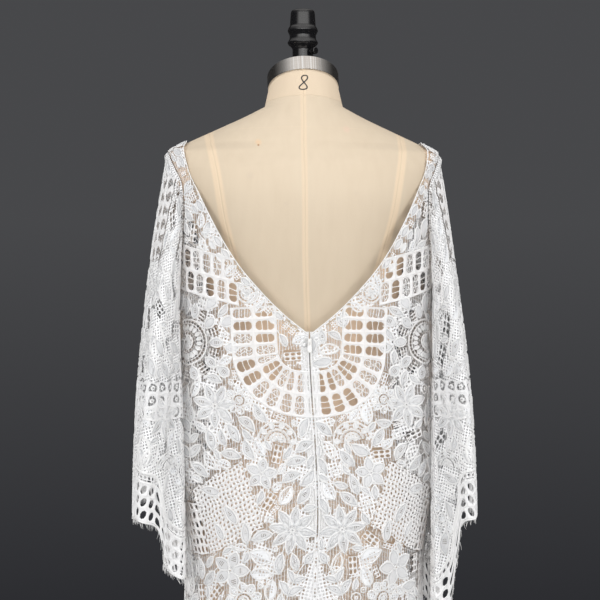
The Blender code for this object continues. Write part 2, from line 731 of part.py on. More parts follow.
def build():
    clear_scene()
    build_torso()
    build_neck_ring()
    build_finial()
    build_finial_screw()
    build_stand()
    build_front()
    grids = {}
    for side, label in ((1, "left"), (-1, "right")):
        grids[label] = build_back(side, "back_" + label)
        rings = build_sleeve(side, "sleeve_" + label)
        build_fringe(rings, "sleeve_fringe_" + label)
        build_zip_and_allowances(side, grids[label], label)
    pivot = build_zip_slider(grids["left"])
    build_zip_pull(pivot)


build()
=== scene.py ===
# %% [markdown]
# # A white lace wedding gown on a dress form
# The gown is knitted lace: a fine net ground with thick white cords, flat filled leaves and rows of
# open slots. It hangs on a linen-covered form and shows the form through every hole. The packed
# CAD model gives the sizes and places; this script gives each piece its real surface.

import math
from collections import namedtuple
from contextlib import contextmanager

import bmesh
import bpy
import numpy as np
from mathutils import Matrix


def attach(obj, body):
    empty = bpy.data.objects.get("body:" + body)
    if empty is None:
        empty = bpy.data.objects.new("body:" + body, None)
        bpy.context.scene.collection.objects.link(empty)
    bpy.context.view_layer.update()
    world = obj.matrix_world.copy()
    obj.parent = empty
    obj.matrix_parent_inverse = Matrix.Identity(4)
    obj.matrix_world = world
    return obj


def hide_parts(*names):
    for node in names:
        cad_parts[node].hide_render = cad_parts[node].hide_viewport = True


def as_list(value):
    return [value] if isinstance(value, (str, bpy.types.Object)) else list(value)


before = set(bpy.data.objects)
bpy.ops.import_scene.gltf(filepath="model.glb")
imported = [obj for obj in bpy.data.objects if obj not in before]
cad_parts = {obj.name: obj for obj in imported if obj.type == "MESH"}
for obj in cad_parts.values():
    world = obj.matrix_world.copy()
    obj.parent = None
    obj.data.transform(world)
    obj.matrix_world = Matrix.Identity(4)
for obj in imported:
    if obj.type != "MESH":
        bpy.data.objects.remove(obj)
bpy.ops.object.select_all(action="DESELECT")
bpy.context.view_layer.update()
BODY = "form_and_gown"
rng = np.random.default_rng(11)
print("CAD nodes:", len(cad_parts))

# %% [markdown]
# ## The camera, the light and the floor
# A long lens stands level behind the form. Two large soft lights beside the camera and a weaker one
# above light white lace evenly, as in a photographer's studio. A low strip gives the shiny parts
# their highlight, and one more light keeps the front from going dark.

# %% Camera
EYE_DISTANCE, EYE_HEIGHT = 2.2, 1.157
EYE_TURN = math.radians(4.75)         # the camera stands a little towards the wearer's left
LENS_MM = 91.0
AXIS_PIXEL, PICTURE = 303.8, 600      # where the form's axis falls across the picture

camera_data = bpy.data.cameras.new("camera")
camera_data.lens = LENS_MM
camera_data.sensor_width = 36
camera_data.shift_x = (PICTURE / 2 - AXIS_PIXEL) / PICTURE
camera_data.clip_start = 0.05
camera = bpy.data.objects.new("camera", camera_data)
camera.location = (EYE_DISTANCE * math.sin(EYE_TURN), EYE_DISTANCE * math.cos(EYE_TURN), EYE_HEIGHT)
camera.rotation_euler = (math.radians(90), 0, math.radians(180) - EYE_TURN)
bpy.context.scene.collection.objects.link(camera)
bpy.context.scene.camera = camera

# %% Soft lights
def soft_light(name, place, aim, size, watts, mirrored=True):
    light = bpy.data.lights.new(name, "AREA")
    light.shape = "RECTANGLE"
    light.size, light.size_y = size
    light.energy = watts
    lamp = bpy.data.objects.new(name, light)
    lamp.location = place
    lamp.visible_glossy = mirrored
    way = np.array(aim, float) - np.array(place, float)
    flat = math.hypot(way[0], way[1])
    lamp.rotation_euler = (math.atan2(flat, -way[2]), 0, math.atan2(-way[0], way[1]))
    bpy.context.scene.collection.objects.link(lamp)


CHEST = (0, 0, 1.15)
soft_light("key", (2.05, 2.15, 1.75), CHEST, (1.1, 1.9), 39.5, mirrored=False)
soft_light("fill", (-2.15, 2.05, 1.65), CHEST, (1.1, 1.9), 37, mirrored=False)
soft_light("top", (0.1, 1.35, 3.1), CHEST, (1.3, 1.0), 11, mirrored=False)
soft_light("strip", (0.10, 3.2, 1.55), CHEST, (1.7, 0.8), 8)
soft_light("front", (0.6, -2.6, 1.7), CHEST, (1.8, 1.8), 30, mirrored=False)

# %% Floor
FLOOR_RADIUS = 1.3
bpy.ops.mesh.primitive_cylinder_add(vertices=96, radius=FLOOR_RADIUS, depth=0.02, location=(0, 0, -0.0101))
floor = bpy.context.object
floor.name = "floor"
bpy.ops.object.transform_apply(location=True)
bpy.ops.object.select_all(action="DESELECT")


# %% [markdown]
# ## Shader maths as Python
# A material is a small tree of nodes. `Value` wraps one socket, and its operators add Math nodes,
# so a pattern is written as a formula. `Nodes` adds any other node by its type, its settings and its
# inputs, and `Finish` starts a material on the Principled shader.

# %% Shader helpers
class Value:
    """A number in a material, which Python's own operators work on."""

    def __init__(self, tree, socket):
        self.tree, self.socket = tree, socket

    def math(self, operation, *others):
        node = self.tree.nodes.new("ShaderNodeMath")
        node.operation = operation
        for socket, value in zip(node.inputs, (self, *others)):
            feed(self.tree, socket, value)
        return Value(self.tree, node.outputs[0])

    def __add__(self, other):
        return self.math("ADD", other)

    def __sub__(self, other):
        return self.math("SUBTRACT", other)

    def __rsub__(self, other):
        return (self * -1) + other

    def __mul__(self, other):
        return self.math("MULTIPLY", other)

    __radd__, __rmul__ = __add__, __mul__

    def __abs__(self):
        return self.math("ABSOLUTE")

    def ramp(self, low, high):
        """0 at low, 1 at high, level beyond them; low may be the larger."""
        node = self.tree.nodes.new("ShaderNodeMapRange")
        for name, value in (("Value", self), ("From Min", low), ("From Max", high)):
            feed(self.tree, node.inputs[name], value)
        return Value(self.tree, node.outputs["Result"])

    def wave(self, pitch):
        """A sine from -1 to 1 with this length, in metres."""
        return (self * (math.tau / pitch)).math("SINE")


def feed(tree, socket, value):
    if isinstance(value, Value):
        tree.links.new(value.socket, socket)
    elif isinstance(value, bpy.types.NodeSocket):
        tree.links.new(value, socket)
    else:
        socket.default_value = value


class Nodes:
    """A tree of shader nodes, and the few ways in which this script adds to it."""

    def __init__(self, tree):
        self.tree = tree

    def node(self, kind, settings=None, inputs=None):
        made = self.tree.nodes.new(kind)
        for key, value in (settings or {}).items():
            setattr(made, key, value)
        for key, value in (inputs or {}).items():
            feed(self.tree, made.inputs[key], value)
        return made

    def value(self, socket):
        return Value(self.tree, socket)

    def parts(self, vector):
        """The three numbers of a vector."""
        made = self.node("ShaderNodeSeparateXYZ", inputs={0: vector})
        return [self.value(socket) for socket in made.outputs]

    def painted(self, name):
        """What `paint` stored at the piece's points under this name."""
        return self.value(self.node("ShaderNodeAttribute", {"attribute_name": name}).outputs["Fac"])

    def place(self):
        """Object coordinates, in metres."""
        return self.node("ShaderNodeTexCoord").outputs["Object"]

    def cloth(self):
        """(across, up) on the flat cloth, in metres, from the piece's own UV map."""
        return self.parts(self.node("ShaderNodeUVMap").outputs[0])[:2]

    def noise(self, scale, detail=2.0, where=None, stretch=None):
        vector = where or self.place()
        if stretch:
            vector = self.node("ShaderNodeVectorMath", {"operation": "MULTIPLY"},
                               {0: vector, 1: stretch}).outputs[0]
        made = self.node("ShaderNodeTexNoise", inputs={"Vector": vector, "Scale": scale, "Detail": detail})
        return self.value(made.outputs[0])

    def blend(self, share, first, second):
        mix = self.node("ShaderNodeMix", {"data_type": "RGBA"})
        for name, value in (("Factor", share), ("A", first), ("B", second)):
            kinds = ("VALUE",) if name == "Factor" else ("RGBA",)
            socket = [s for s in mix.inputs if s.name == name and s.type in kinds][0]
            feed(self.tree, socket, (*value, 1) if isinstance(value, tuple) else value)
        return [s for s in mix.outputs if s.type == "RGBA"][0]

    def either(self, share, first, second):
        """One shader or the other, or a mixture of the two."""
        return self.node("ShaderNodeMixShader", inputs={0: share, 1: first, 2: second}).outputs[0]


class Finish(Nodes):
    """One material: a Principled shader, and the nodes that feed it."""

    def __init__(self, name, colour, roughness, **fixed):
        self.material = bpy.data.materials.new(name)
        self.material.use_nodes = True
        super().__init__(self.material.node_tree)
        self.shader = self.tree.nodes["Principled BSDF"]
        self.set("Base Color", (*colour, 1))
        self.set("Roughness", roughness)
        for key, value in fixed.items():
            self.set(key.replace("_", " "), value)

    def set(self, socket, value):
        feed(self.tree, self.shader.inputs[socket], value)

    def bump(self, height, distance, strength=1.0):
        made = self.node("ShaderNodeBump", inputs={"Height": height, "Distance": distance,
                                                   "Strength": strength})
        self.set("Normal", made.outputs[0])


def let_through(finish, share, colour):
    """Thin cotton passes some of its light on to the other side."""
    thin = finish.node("ShaderNodeBsdfTranslucent", inputs={"Color": (*colour, 1)})
    end = [n for n in finish.tree.nodes if n.type == "OUTPUT_MATERIAL"][0]
    feed(finish.tree, end.inputs["Surface"], finish.either(share, finish.shader.outputs[0], thin.outputs[0]))


def wear(piece, *finishes):
    """Give a piece its finishes; each face keeps its number among them, which clear() would forget."""
    faces = piece.data.polygons
    numbers = np.zeros(len(faces), np.int32)
    faces.foreach_get("material_index", numbers)
    piece.data.materials.clear()
    for finish in finishes:
        piece.data.materials.append(finish.material)
    faces.foreach_set("material_index", np.minimum(numbers, len(finishes) - 1))


def paint(piece, name, values):
    """Store one number at each point of a piece, for its finish to read by this name."""
    layer = piece.data.attributes.new(name, "FLOAT", "POINT")
    layer.data.foreach_set("value", np.asarray(values, float).ravel())


# %% Floor finish
floor_finish = Finish("pale_floor", (0.62, 0.61, 0.60), 0.7)
colour = floor_finish.blend(floor_finish.noise(3.0), (0.58, 0.575, 0.57), (0.66, 0.655, 0.65))
floor_finish.set("Base Color", colour)
wear(floor, floor_finish)

# %% [markdown]
# ## The studio around the form
# What the camera sees behind the form is a charcoal backdrop, a little darker low down, and it reads
# as dark through the lace's holes. All other rays meet a soft grey that fills the shadows, but shiny
# parts mirror a dark room with a pale ceiling and one window behind the camera.

# %% World
bpy.context.scene.view_settings.view_transform = "Standard"
world = bpy.data.worlds.new("studio")
bpy.context.scene.world = world
world.use_nodes = True
world.node_tree.nodes.clear()
studio = Nodes(world.node_tree)
way = studio.node("ShaderNodeTexCoord").outputs["Generated"]
x, y, z = studio.parts(way)
backdrop = studio.blend(z.ramp(-0.19, 0.05), (0.0265, 0.0272, 0.0310), (0.0640, 0.0650, 0.0690))
rise = studio.node("ShaderNodeVectorMath", {"operation": "DOT_PRODUCT"}, {0: way, 1: (0.0, 0.30, 1.0)})
ceiling = studio.value(rise.outputs["Value"]).ramp(0.28, 0.92) * abs(x).ramp(0.98, 0.45)
window = y.ramp(0.10, 0.20) * abs(x).ramp(0.85, 0.60) * z.ramp(-0.10, 0.06) * z.ramp(0.52, 0.38)
room = studio.blend(ceiling, (0.016, 0.015, 0.015), (0.88, 0.86, 0.84))
room = studio.blend(window, room, (1.5, 1.48, 1.45))


def glow(colour, strength=1.0):
    return studio.node("ShaderNodeBackground", inputs={"Color": colour, "Strength": strength}).outputs[0]


ray = studio.node("ShaderNodeLightPath").outputs
unseen = studio.either(ray["Is Glossy Ray"], glow((1, 1, 1, 1), 0.56), glow(room))
studio.node("ShaderNodeOutputWorld",
            inputs={"Surface": studio.either(ray["Is Camera Ray"], unseen, glow(backdrop))})
print("studio:", len(studio.tree.nodes), "nodes")

# %% [markdown]
# ## Sizes of the form and of the gown
# Both are squared ellipses, one at each height, joined by a smooth curve that never overshoots its
# table. The gown hangs on its own sizes, and lies on the form where the form is wider.

# %% Size tables
Section = namedtuple("Section", "z half_width back front square")
FORM = (
    Section(0.700, 0.151, 0.095, 0.090, 2.3),
    Section(0.780, 0.150, 0.110, 0.093, 2.25),
    Section(0.820, 0.149, 0.115, 0.095, 2.2),
    Section(0.900, 0.142, 0.110, 0.095, 2.2),
    Section(0.983, 0.130, 0.086, 0.088, 2.15),
    Section(1.060, 0.125, 0.070, 0.085, 2.1),     # waist
    Section(1.128, 0.133, 0.080, 0.094, 2.15),
    Section(1.193, 0.142, 0.094, 0.116, 2.2),
    Section(1.244, 0.152, 0.102, 0.130, 2.4),     # bust
    Section(1.302, 0.174, 0.108, 0.105, 2.6),
    Section(1.340, 0.189, 0.102, 0.084, 2.5),
    Section(1.366, 0.194, 0.089, 0.066, 2.1),     # shoulder tip
    Section(1.380, 0.174, 0.081, 0.057, 1.7),
    Section(1.400, 0.132, 0.0725, 0.048, 1.6),
    Section(1.420, 0.0885, 0.062, 0.047, 1.7),
    Section(1.436, 0.0568, 0.054, 0.049, 1.95),
)
GOWN = (
    Section(0.030, 0.320, 0.285, 0.285, 2.0),
    Section(0.300, 0.272, 0.225, 0.235, 2.1),
    Section(0.550, 0.218, 0.165, 0.180, 2.3),
    Section(0.720, 0.167, 0.130, 0.146, 2.5),
    Section(0.850, 0.1745, 0.123, 0.138, 2.6),
    Section(0.950, 0.185, 0.110, 0.136, 2.65),
    Section(1.060, 0.185, 0.097, 0.135, 2.7),
    Section(1.109, 0.185, 0.095, 0.135, 2.7),
    Section(1.180, 0.185, 0.100, 0.135, 2.7),
    Section(1.244, 0.185, 0.105, 0.134, 2.7),
    Section(1.302, 0.184, 0.100, 0.100, 2.6),
    Section(1.345, 0.180, 0.080, 0.070, 2.2),
    Section(1.400, 0.050, 0.030, 0.030, 1.6),
)
print("heights in the tables:", len(FORM), "of the form and", len(GOWN), "of the gown")

# %% Edges and folds of the gown
CLEAR, LIFT = 0.0015, 0.0025          # the gown stands this far off the form, and above its shoulder
WALL = 0.0015                         # thickness of the lace in the CAD model
HEM_Z, ZIP_END_Z, V_POINT_Z = 0.030, 0.872, 1.109
UNDERARM_Z, FRONT_NECK_Z, SHOULDER_Z, SHOULDER_DROP = 1.165, 1.280, 1.386, 0.016

Neck = namedtuple("Neck", "z x")
BACK_NECK = (
    Neck(V_POINT_Z, 0.000), Neck(1.138, 0.036), Neck(1.170, 0.068), Neck(1.203, 0.096),
    Neck(1.237, 0.118), Neck(1.271, 0.136), Neck(1.307, 0.153), Neck(1.341, 0.1675),
    Neck(1.3725, 0.1735), Neck(SHOULDER_Z, 0.168),
)
FRONT_NECK = (
    Neck(FRONT_NECK_Z, 0.000), Neck(1.288, 0.040), Neck(1.300, 0.080), Neck(1.314, 0.113),
    Neck(1.329, 0.139), Neck(1.345, 0.159), Neck(1.3725, 0.1735), Neck(SHOULDER_Z, 0.168),
)
ARMHOLE_TOP_Z = SHOULDER_Z - SHOULDER_DROP
ARMHOLE_BACK, ARMHOLE_FRONT = 24.0, 27.0    # how far round the body the armholes reach, in degrees

FOLDS_FROM_Z, FOLD_POWER = 0.930, 1.25
Fold = namedtuple("Fold", "degrees reach depth")
FOLDS = (
    Fold(14, 15, 0.017), Fold(41, 14, 0.026), Fold(70, 16, 0.021), Fold(99, 14, 0.025),
    Fold(129, 17, 0.028), Fold(158, 13, 0.019), Fold(186, 15, 0.026), Fold(217, 16, 0.022),
    Fold(246, 14, 0.027), Fold(275, 15, 0.020), Fold(305, 15, 0.026), Fold(336, 14, 0.018),
)
print("deepest fold: %.1f cm at the hem" % (100 * max(fold.depth for fold in FOLDS)))


# %% Read a table on a smooth curve
def read(table, keys):
    """The table's columns at each key: one row for each key, without the key itself."""
    rows = np.array(table, float)
    key, columns = rows[:, 0], rows[:, 1:]
    rise = np.diff(columns, axis=0) / np.diff(key)[:, None]
    slope = np.zeros_like(columns)
    slope[0], slope[-1] = rise[0], rise[-1]
    same_way = rise[:-1] * rise[1:] > 0
    total = np.where(same_way, rise[:-1] + rise[1:], 1.0)
    slope[1:-1] = np.where(same_way, 2 * rise[:-1] * rise[1:] / total, 0.0)
    at = np.clip(np.asarray(keys, float), key[0], key[-1])
    i = np.clip(np.searchsorted(key, at, side="right") - 1, 0, len(key) - 2)
    span = (key[i + 1] - key[i])[..., None]
    t = (at - key[i])[..., None] / span
    return ((2 * t ** 3 - 3 * t ** 2 + 1) * columns[i] + (t ** 3 - 2 * t ** 2 + t) * span * slope[i]
            + (3 * t ** 2 - 2 * t ** 3) * columns[i + 1] + (t ** 3 - t ** 2) * span * slope[i + 1])


print("half the waist's width: %.3f m" % read(FORM, 1.060)[0])


# %% Surface of the gown
def gown_sizes(z):
    """The gown's half width, depths and squareness at each height, on the form where that is wider."""
    body = read(FORM, np.asarray(z) - LIFT) + np.array([CLEAR, CLEAR, CLEAR, 0])
    return np.maximum(read(GOWN, z), body)


def squared_ring(sizes, turn):
    """Points (x, y) and the level direction outwards, at angles from the centre back in degrees."""
    half_width, back, front, square = np.moveaxis(sizes, -1, 0)
    side, depth = np.sin(np.radians(turn)), np.cos(np.radians(turn))
    reach = np.where(depth > 0, back, front)
    size = (np.abs(side) ** square + np.abs(depth) ** square) ** (-1 / square)
    x, y = half_width * size * side, reach * size * depth
    across = np.sign(x) * np.abs(size * side) ** (square - 1) / half_width
    behind = np.sign(y) * np.abs(size * depth) ** (square - 1) / reach
    length = np.hypot(across, behind)
    return x, y, across / length, behind / length


def fold_depth(turn, z):
    """How far the skirt's folds stand out, at angles from the centre back in degrees."""
    ramp = (np.clip((FOLDS_FROM_Z - z) / (FOLDS_FROM_Z - HEM_Z), 0, None)) ** FOLD_POWER
    depth = 0.0
    for fold in FOLDS:
        away = np.abs((turn - fold.degrees + 180) % 360 - 180) / fold.reach
        depth = depth + fold.depth * np.cos(np.minimum(away, 1) * math.pi / 2) ** 2
    return depth * ramp


def gown_surface(turn, z, off=0.0):
    """Points on the inside of the hanging gown, off is how far outside it."""
    x, y, out_x, out_y = squared_ring(gown_sizes(z), turn)
    out = fold_depth(turn, z) + off
    return np.stack(np.broadcast_arrays(x + out_x * out, y + out_y * out, z), axis=-1)


def armhole_edge(z, front):
    """How far the panel's armhole edge is from the axis, across the body."""
    middle, half = (ARMHOLE_TOP_Z + UNDERARM_Z) / 2, (ARMHOLE_TOP_Z - UNDERARM_Z) / 2
    share = np.sqrt(np.clip(1 - ((z - middle) / half) ** 2, 0, 1))
    reach = (ARMHOLE_FRONT if front else ARMHOLE_BACK) * share
    sizes = gown_sizes(z)
    return sizes[..., 0] * np.sin(np.radians(90 - reach)) ** (2 / sizes[..., 3])


print("hem: %.2f m wide" % np.ptp(gown_surface(np.arange(360.0), HEM_Z)[:, 0]))


# %% Pieces from arrays
def faces_grid(rows, columns, closed=False):
    """Quads over a grid of points, closed round its rows if asked."""
    i, j = np.meshgrid(np.arange(rows - 1), np.arange(columns if closed else columns - 1), indexing="ij")
    n = (j + 1) % columns
    return np.stack([i * columns + j, i * columns + n, (i + 1) * columns + n, (i + 1) * columns + j],
                    axis=-1).reshape(-1, 4)


def strip_faces(n, m, closed=False):
    """Quads over n rows of m points, with the last row joined to the first if closed."""
    i, j = np.meshgrid(np.arange(n if closed else n - 1), np.arange(m - 1), indexing="ij")
    k = (i + 1) % n
    return np.stack([i * m + j, i * m + j + 1, k * m + j + 1, k * m + j], axis=-1).reshape(-1, 4)


def repeated(faces, count, points):
    """The same faces for each of count shapes that have this many points."""
    return (faces[None] + (np.arange(count) * points)[:, None, None]).reshape(-1, 4)


def make_piece(name, points, faces, uv=None, finish_of_face=None, smooth=True, body=BODY):
    """A mesh object from arrays. uv has one row for each point."""
    mesh = bpy.data.meshes.new(name)
    points, faces = np.asarray(points, float), np.asarray(faces, int)
    mesh.vertices.add(len(points))
    mesh.vertices.foreach_set("co", points.ravel())
    size = faces.shape[1]
    mesh.loops.add(faces.size)
    mesh.polygons.add(len(faces))
    mesh.loops.foreach_set("vertex_index", faces.ravel())
    mesh.polygons.foreach_set("loop_start", np.arange(0, faces.size, size))
    if finish_of_face is not None:
        mesh.polygons.foreach_set("material_index", np.asarray(finish_of_face, int))
    if smooth:
        mesh.polygons.foreach_set("use_smooth", np.ones(len(faces), bool))
    if uv is not None:
        layer = mesh.uv_layers.new(name="flat_cloth")
        layer.data.foreach_set("uv", np.asarray(uv, float)[faces.ravel()].ravel())
    mesh.update(calc_edges=True)
    mesh.validate()
    piece = bpy.data.objects.new(name, mesh)
    bpy.context.scene.collection.objects.link(piece)
    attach(piece, body)
    return piece


def face_normals(points, faces):
    """The normal of each quad, as long as twice its area."""
    a, b, c, d = (points[faces[:, k]] for k in range(4))
    return np.cross(c - a, d - b)


@contextmanager
def edited(piece):
    """The piece's mesh to be worked on, which is written back at the end."""
    bm = bmesh.new()
    bm.from_mesh(piece.data)
    yield bm
    bm.to_mesh(piece.data)
    bm.free()


# %% [markdown]
# ## Cloth as a map
# Lace is drawn flat and then hung, so each panel is a map: a place on the flat cloth, in metres
# across from the centre line and up from the floor, gives a point in space and the way out of the
# cloth there. A panel's edges are where its neckline, armhole and seams cut the map.

# %% Drift and creases
FLAT_UP_TO = 1.25                     # above this height, the cloth leans and is longer than it is high
# The centre back seam doesn't hang plumb: how far it drifts to the wearer's right, at each height.
DRIFT = ((HEM_Z, 0.0), (0.600, 0.0020), (0.770, 0.0050), (0.870, 0.0092), (0.950, 0.0070), (1.020, 0.0030),
         (1.092, 0.0), (SHOULDER_Z, 0.0))
STEP = 0.005                          # between the points of a panel's map
STRAP_TURN = 76                       # where a shoulder strap runs, in degrees round the body
Crease = namedtuple("Crease", "across up to_across to_up reach depth")
# Soft troughs and ridges of the hanging back and front: where they start and end, and how deep.
BACK_CREASES = (
    Crease(0.150, 1.190, 0.118, 1.060, 0.017, 0.0045), Crease(0.172, 1.120, 0.150, 0.930, 0.016, 0.0060),
    Crease(0.120, 1.060, 0.060, 0.960, 0.020, 0.0030), Crease(0.200, 1.040, 0.178, 0.820, 0.018, 0.0070),
    Crease(0.095, 0.960, 0.100, 0.800, 0.024, 0.0035), Crease(0.045, 1.010, 0.020, 0.900, 0.018, 0.0020),
)
FRONT_CREASES = (
    Crease(0.070, 1.180, 0.100, 0.960, 0.024, 0.0070), Crease(0.150, 1.160, 0.160, 0.900, 0.020, 0.0060),
    Crease(0.020, 1.150, 0.045, 0.900, 0.026, 0.0050), Crease(0.200, 1.100, 0.190, 0.850, 0.020, 0.0060),
)


def crease_height(creases, across, up):
    """How far the creases lift the cloth, at places on the flat panel."""
    height = np.zeros(np.broadcast(across, up).shape)
    for c in creases:
        run, rise = c.to_across - c.across, c.to_up - c.up
        along = np.clip(((across - c.across) * run + (up - c.up) * rise) / (run ** 2 + rise ** 2), 0, 1)
        away = np.hypot(across - c.across - run * along, up - c.up - rise * along) / c.reach
        height += c.depth * np.sin(math.pi * np.clip(along, 0.001, 0.999)) ** 0.6 * np.exp(-1.6 * away ** 2)
    return height


print("creases:", len(BACK_CREASES), "behind and", len(FRONT_CREASES), "in front")


# %% Measures along a cloth
def running(steps):
    """How far along a line each of its points is, from the steps between them."""
    return np.concatenate([[0], np.cumsum(steps)])


def surface_normals(points, wrap=False):
    """The unit normal at each point of a grid."""
    if wrap:
        along = np.roll(points, -1, axis=1) - np.roll(points, 1, axis=1)
    else:
        along = np.gradient(points, axis=1)
    normals = np.cross(along, np.gradient(points, axis=0))
    return normals / np.maximum(np.linalg.norm(normals, axis=-1, keepdims=True), 1e-12)


# %% Maps of the panels
class Panel:
    """A back or half front, hung: side is 1 on the wearer's left and -1 on the right."""

    def __init__(self, side, front):
        self.side, self.front = side, front
        z = np.concatenate([np.arange(HEM_Z, 1.300, STEP), np.arange(1.300, 1.345, 0.0025),
                            np.arange(1.345, SHOULDER_Z, 0.001), [SHOULDER_Z]])
        turn = np.linspace(0, 90, 361)
        around = (180 - turn if front else turn) * side
        drift = 0
        if not front:
            drift = np.degrees(read(DRIFT, z) / gown_sizes(z)[:, :1]) * np.cos(np.radians(turn)) ** 2
        ring = gown_surface(around[None, :] - drift, z[:, None], WALL * 0.5)
        steps = np.linalg.norm(np.diff(ring, axis=1), axis=2)
        length = np.concatenate([np.zeros((len(z), 1)), np.cumsum(steps, axis=1)], axis=1)
        across = np.abs(ring[:, :, 0])
        neck = read(FRONT_NECK if front else BACK_NECK, z)[:, 0]
        low = FRONT_NECK_Z if front else V_POINT_Z
        arm = armhole_edge(z, front)
        self.start, self.end = np.zeros(len(z)), np.zeros(len(z))
        for i in range(len(z)):
            # the two backs part by a hair down the zip, and by more at its top
            parted = 0.0002 + 0.0005 * np.clip((z[i] - 1.012) / 0.010, 0, 1) \
                + 0.0016 * np.clip((z[i] - 1.083) / 0.007, 0, 1)
            seam = parted if z[i] > ZIP_END_Z and not front else 0.0
            self.start[i] = np.interp(neck[i], across[i], length[i]) if z[i] > low else seam
            open_side = UNDERARM_Z < z[i] < ARMHOLE_TOP_Z
            self.end[i] = np.interp(arm[i], across[i], length[i]) if open_side else length[i, -1]
            if z[i] >= SHOULDER_Z - 1e-9:
                self.start[i] = self.end[i] = length[i, -1]
        self.start = np.minimum(self.start, self.end)
        columns = np.arange(0, length.max() + STEP, STEP)
        points = np.stack([[np.interp(columns, length[i], ring[i, :, k]) for k in range(3)]
                           for i in range(len(z))]).transpose(0, 2, 1)
        strap = np.argmin(np.abs(turn - STRAP_TURN))
        leaning = np.linalg.norm(np.diff(ring[:, strap], axis=0), axis=1)
        rise = np.where(z[1:] > FLAT_UP_TO, leaning, np.diff(z))
        self.z, self.up = z, HEM_Z + running(rise)
        out = surface_normals(points)
        flip = np.sign((out[:, :, :2] * points[:, :, :2]).sum(axis=2, keepdims=True).mean())
        creases = FRONT_CREASES if front else BACK_CREASES
        height = crease_height(creases, columns[None, :], self.up[:, None])
        points = points + out * flip * height[:, :, None]
        self.points, self.normals = points, surface_normals(points) * flip
        self.width = float(self.end.max())

    def keep(self, across, up):
        """Clamp flat places to the panel's outline. Also says which were inside."""
        start, end = np.interp(up, self.up, self.start), np.interp(up, self.up, self.end)
        inside = (across > start) & (across < end) & (up > self.up[0]) & (up < self.up[-1])
        return np.clip(across, start, end), np.clip(up, self.up[0], self.up[-1]), inside

    def place(self, across, up, lift=0.0):
        """Flat places as points in space, moved out by a lift."""
        row = np.interp(up, self.up, np.arange(len(self.up)))
        column = np.clip(np.asarray(across) / STEP, 0, self.points.shape[1] - 1.001)
        return look_up(self.points, self.normals, row, column, lift)


def look_up(points, normals, row, column, lift):
    """Points between those of a grid, moved out along its normals by a lift."""
    i = np.clip(row.astype(int), 0, points.shape[0] - 2)
    j = column.astype(int)
    n = (j + 1) % points.shape[1]
    a, b = (row - i)[..., None], (column - j)[..., None]
    both = []
    for grid in (points, normals):
        both.append((grid[i, j] * (1 - a) + grid[i + 1, j] * a) * (1 - b)
                    + (grid[i, n] * (1 - a) + grid[i + 1, n] * a) * b)
    out = both[1] / np.maximum(np.linalg.norm(both[1], axis=-1, keepdims=True), 1e-12)
    return both[0] + out * np.asarray(lift)[..., None]


panels = {(side, front): Panel(side, front) for side in (1, -1) for front in (False, True)}
for (side, front), panel in panels.items():
    print("front" if front else "back", side, "widest %.3f m, up to %.3f m" % (panel.width, panel.up[-1]))

# %% [markdown]
# ## The bell sleeves as maps
# A sleeve is a wide tube that hangs empty, gathered into deep folds beside the body.
# Its armhole loop and its folded hem loop are joined row by row. Across is measured round the hem
# from the sleeve's outer edge, and up is the height above the floor.

# %% Folds of the sleeves
SleeveFold = namedtuple("SleeveFold", "share x y left_z right_z")
SLEEVE_FOLDS = (
    SleeveFold(0.00, 0.2445, 0.000, 0.862, 0.864),     # outer edge
    SleeveFold(0.09, 0.2435, 0.072, 0.860, 0.861),
    SleeveFold(0.17, 0.2355, 0.127, 0.862, 0.860),     # outer ridge, behind
    SleeveFold(0.24, 0.2100, 0.121, 0.849, 0.846),
    SleeveFold(0.285, 0.2000, 0.103, 0.794, 0.745),    # the hem drops beside the ridge
    SleeveFold(0.33, 0.1880, 0.096, 0.782, 0.718),     # valley, behind
    SleeveFold(0.38, 0.1755, 0.099, 0.778, 0.711),     # inner ridge, behind
    SleeveFold(0.42, 0.1750, 0.078, 0.777, 0.707),
    SleeveFold(0.46, 0.1900, 0.042, 0.777, 0.704),
    SleeveFold(0.50, 0.2020, 0.000, 0.778, 0.702),     # under seam, beside the skirt
    SleeveFold(0.56, 0.1930, -0.058, 0.779, 0.712),
    SleeveFold(0.61, 0.1785, -0.098, 0.781, 0.727),
    SleeveFold(0.66, 0.1860, -0.116, 0.786, 0.750),    # inner ridge, in front
    SleeveFold(0.72, 0.1970, -0.099, 0.812, 0.790),    # valley, in front
    SleeveFold(0.80, 0.2180, -0.134, 0.855, 0.850),    # outer ridge, in front
    SleeveFold(0.91, 0.2420, -0.070, 0.861, 0.862),
)
SLEEVE_FLARE, SLEEVE_OFF, SLEEVE_ROWS = 1.9, 0.004, 90
RIGHT_IN = 0.008                      # how much nearer the right sleeve's outer fold is
SCALLOP = 0.056                       # the length of one scallop of a hem
print("folds round a sleeve's hem:", len(SLEEVE_FOLDS))


# %% Loops of the sleeves
def smooth_loop(points, places, shares):
    """A closed Catmull-Rom curve through points at rising places from 0 to 1, read at shares."""
    count = len(points)
    ends = np.append(places, 1.0)
    k = np.clip(np.searchsorted(ends, shares, side="right") - 1, 0, count - 1)
    t = ((shares - ends[k]) / (ends[k + 1] - ends[k]))[:, None]
    a, b, c, d = (points[(k + step) % count] for step in (-1, 0, 1, 2))
    return 0.5 * (2 * b + (c - a) * t + (2 * a - 5 * b + 4 * c - d) * t ** 2
                  + (3 * b - a - 3 * c + d) * t ** 3)


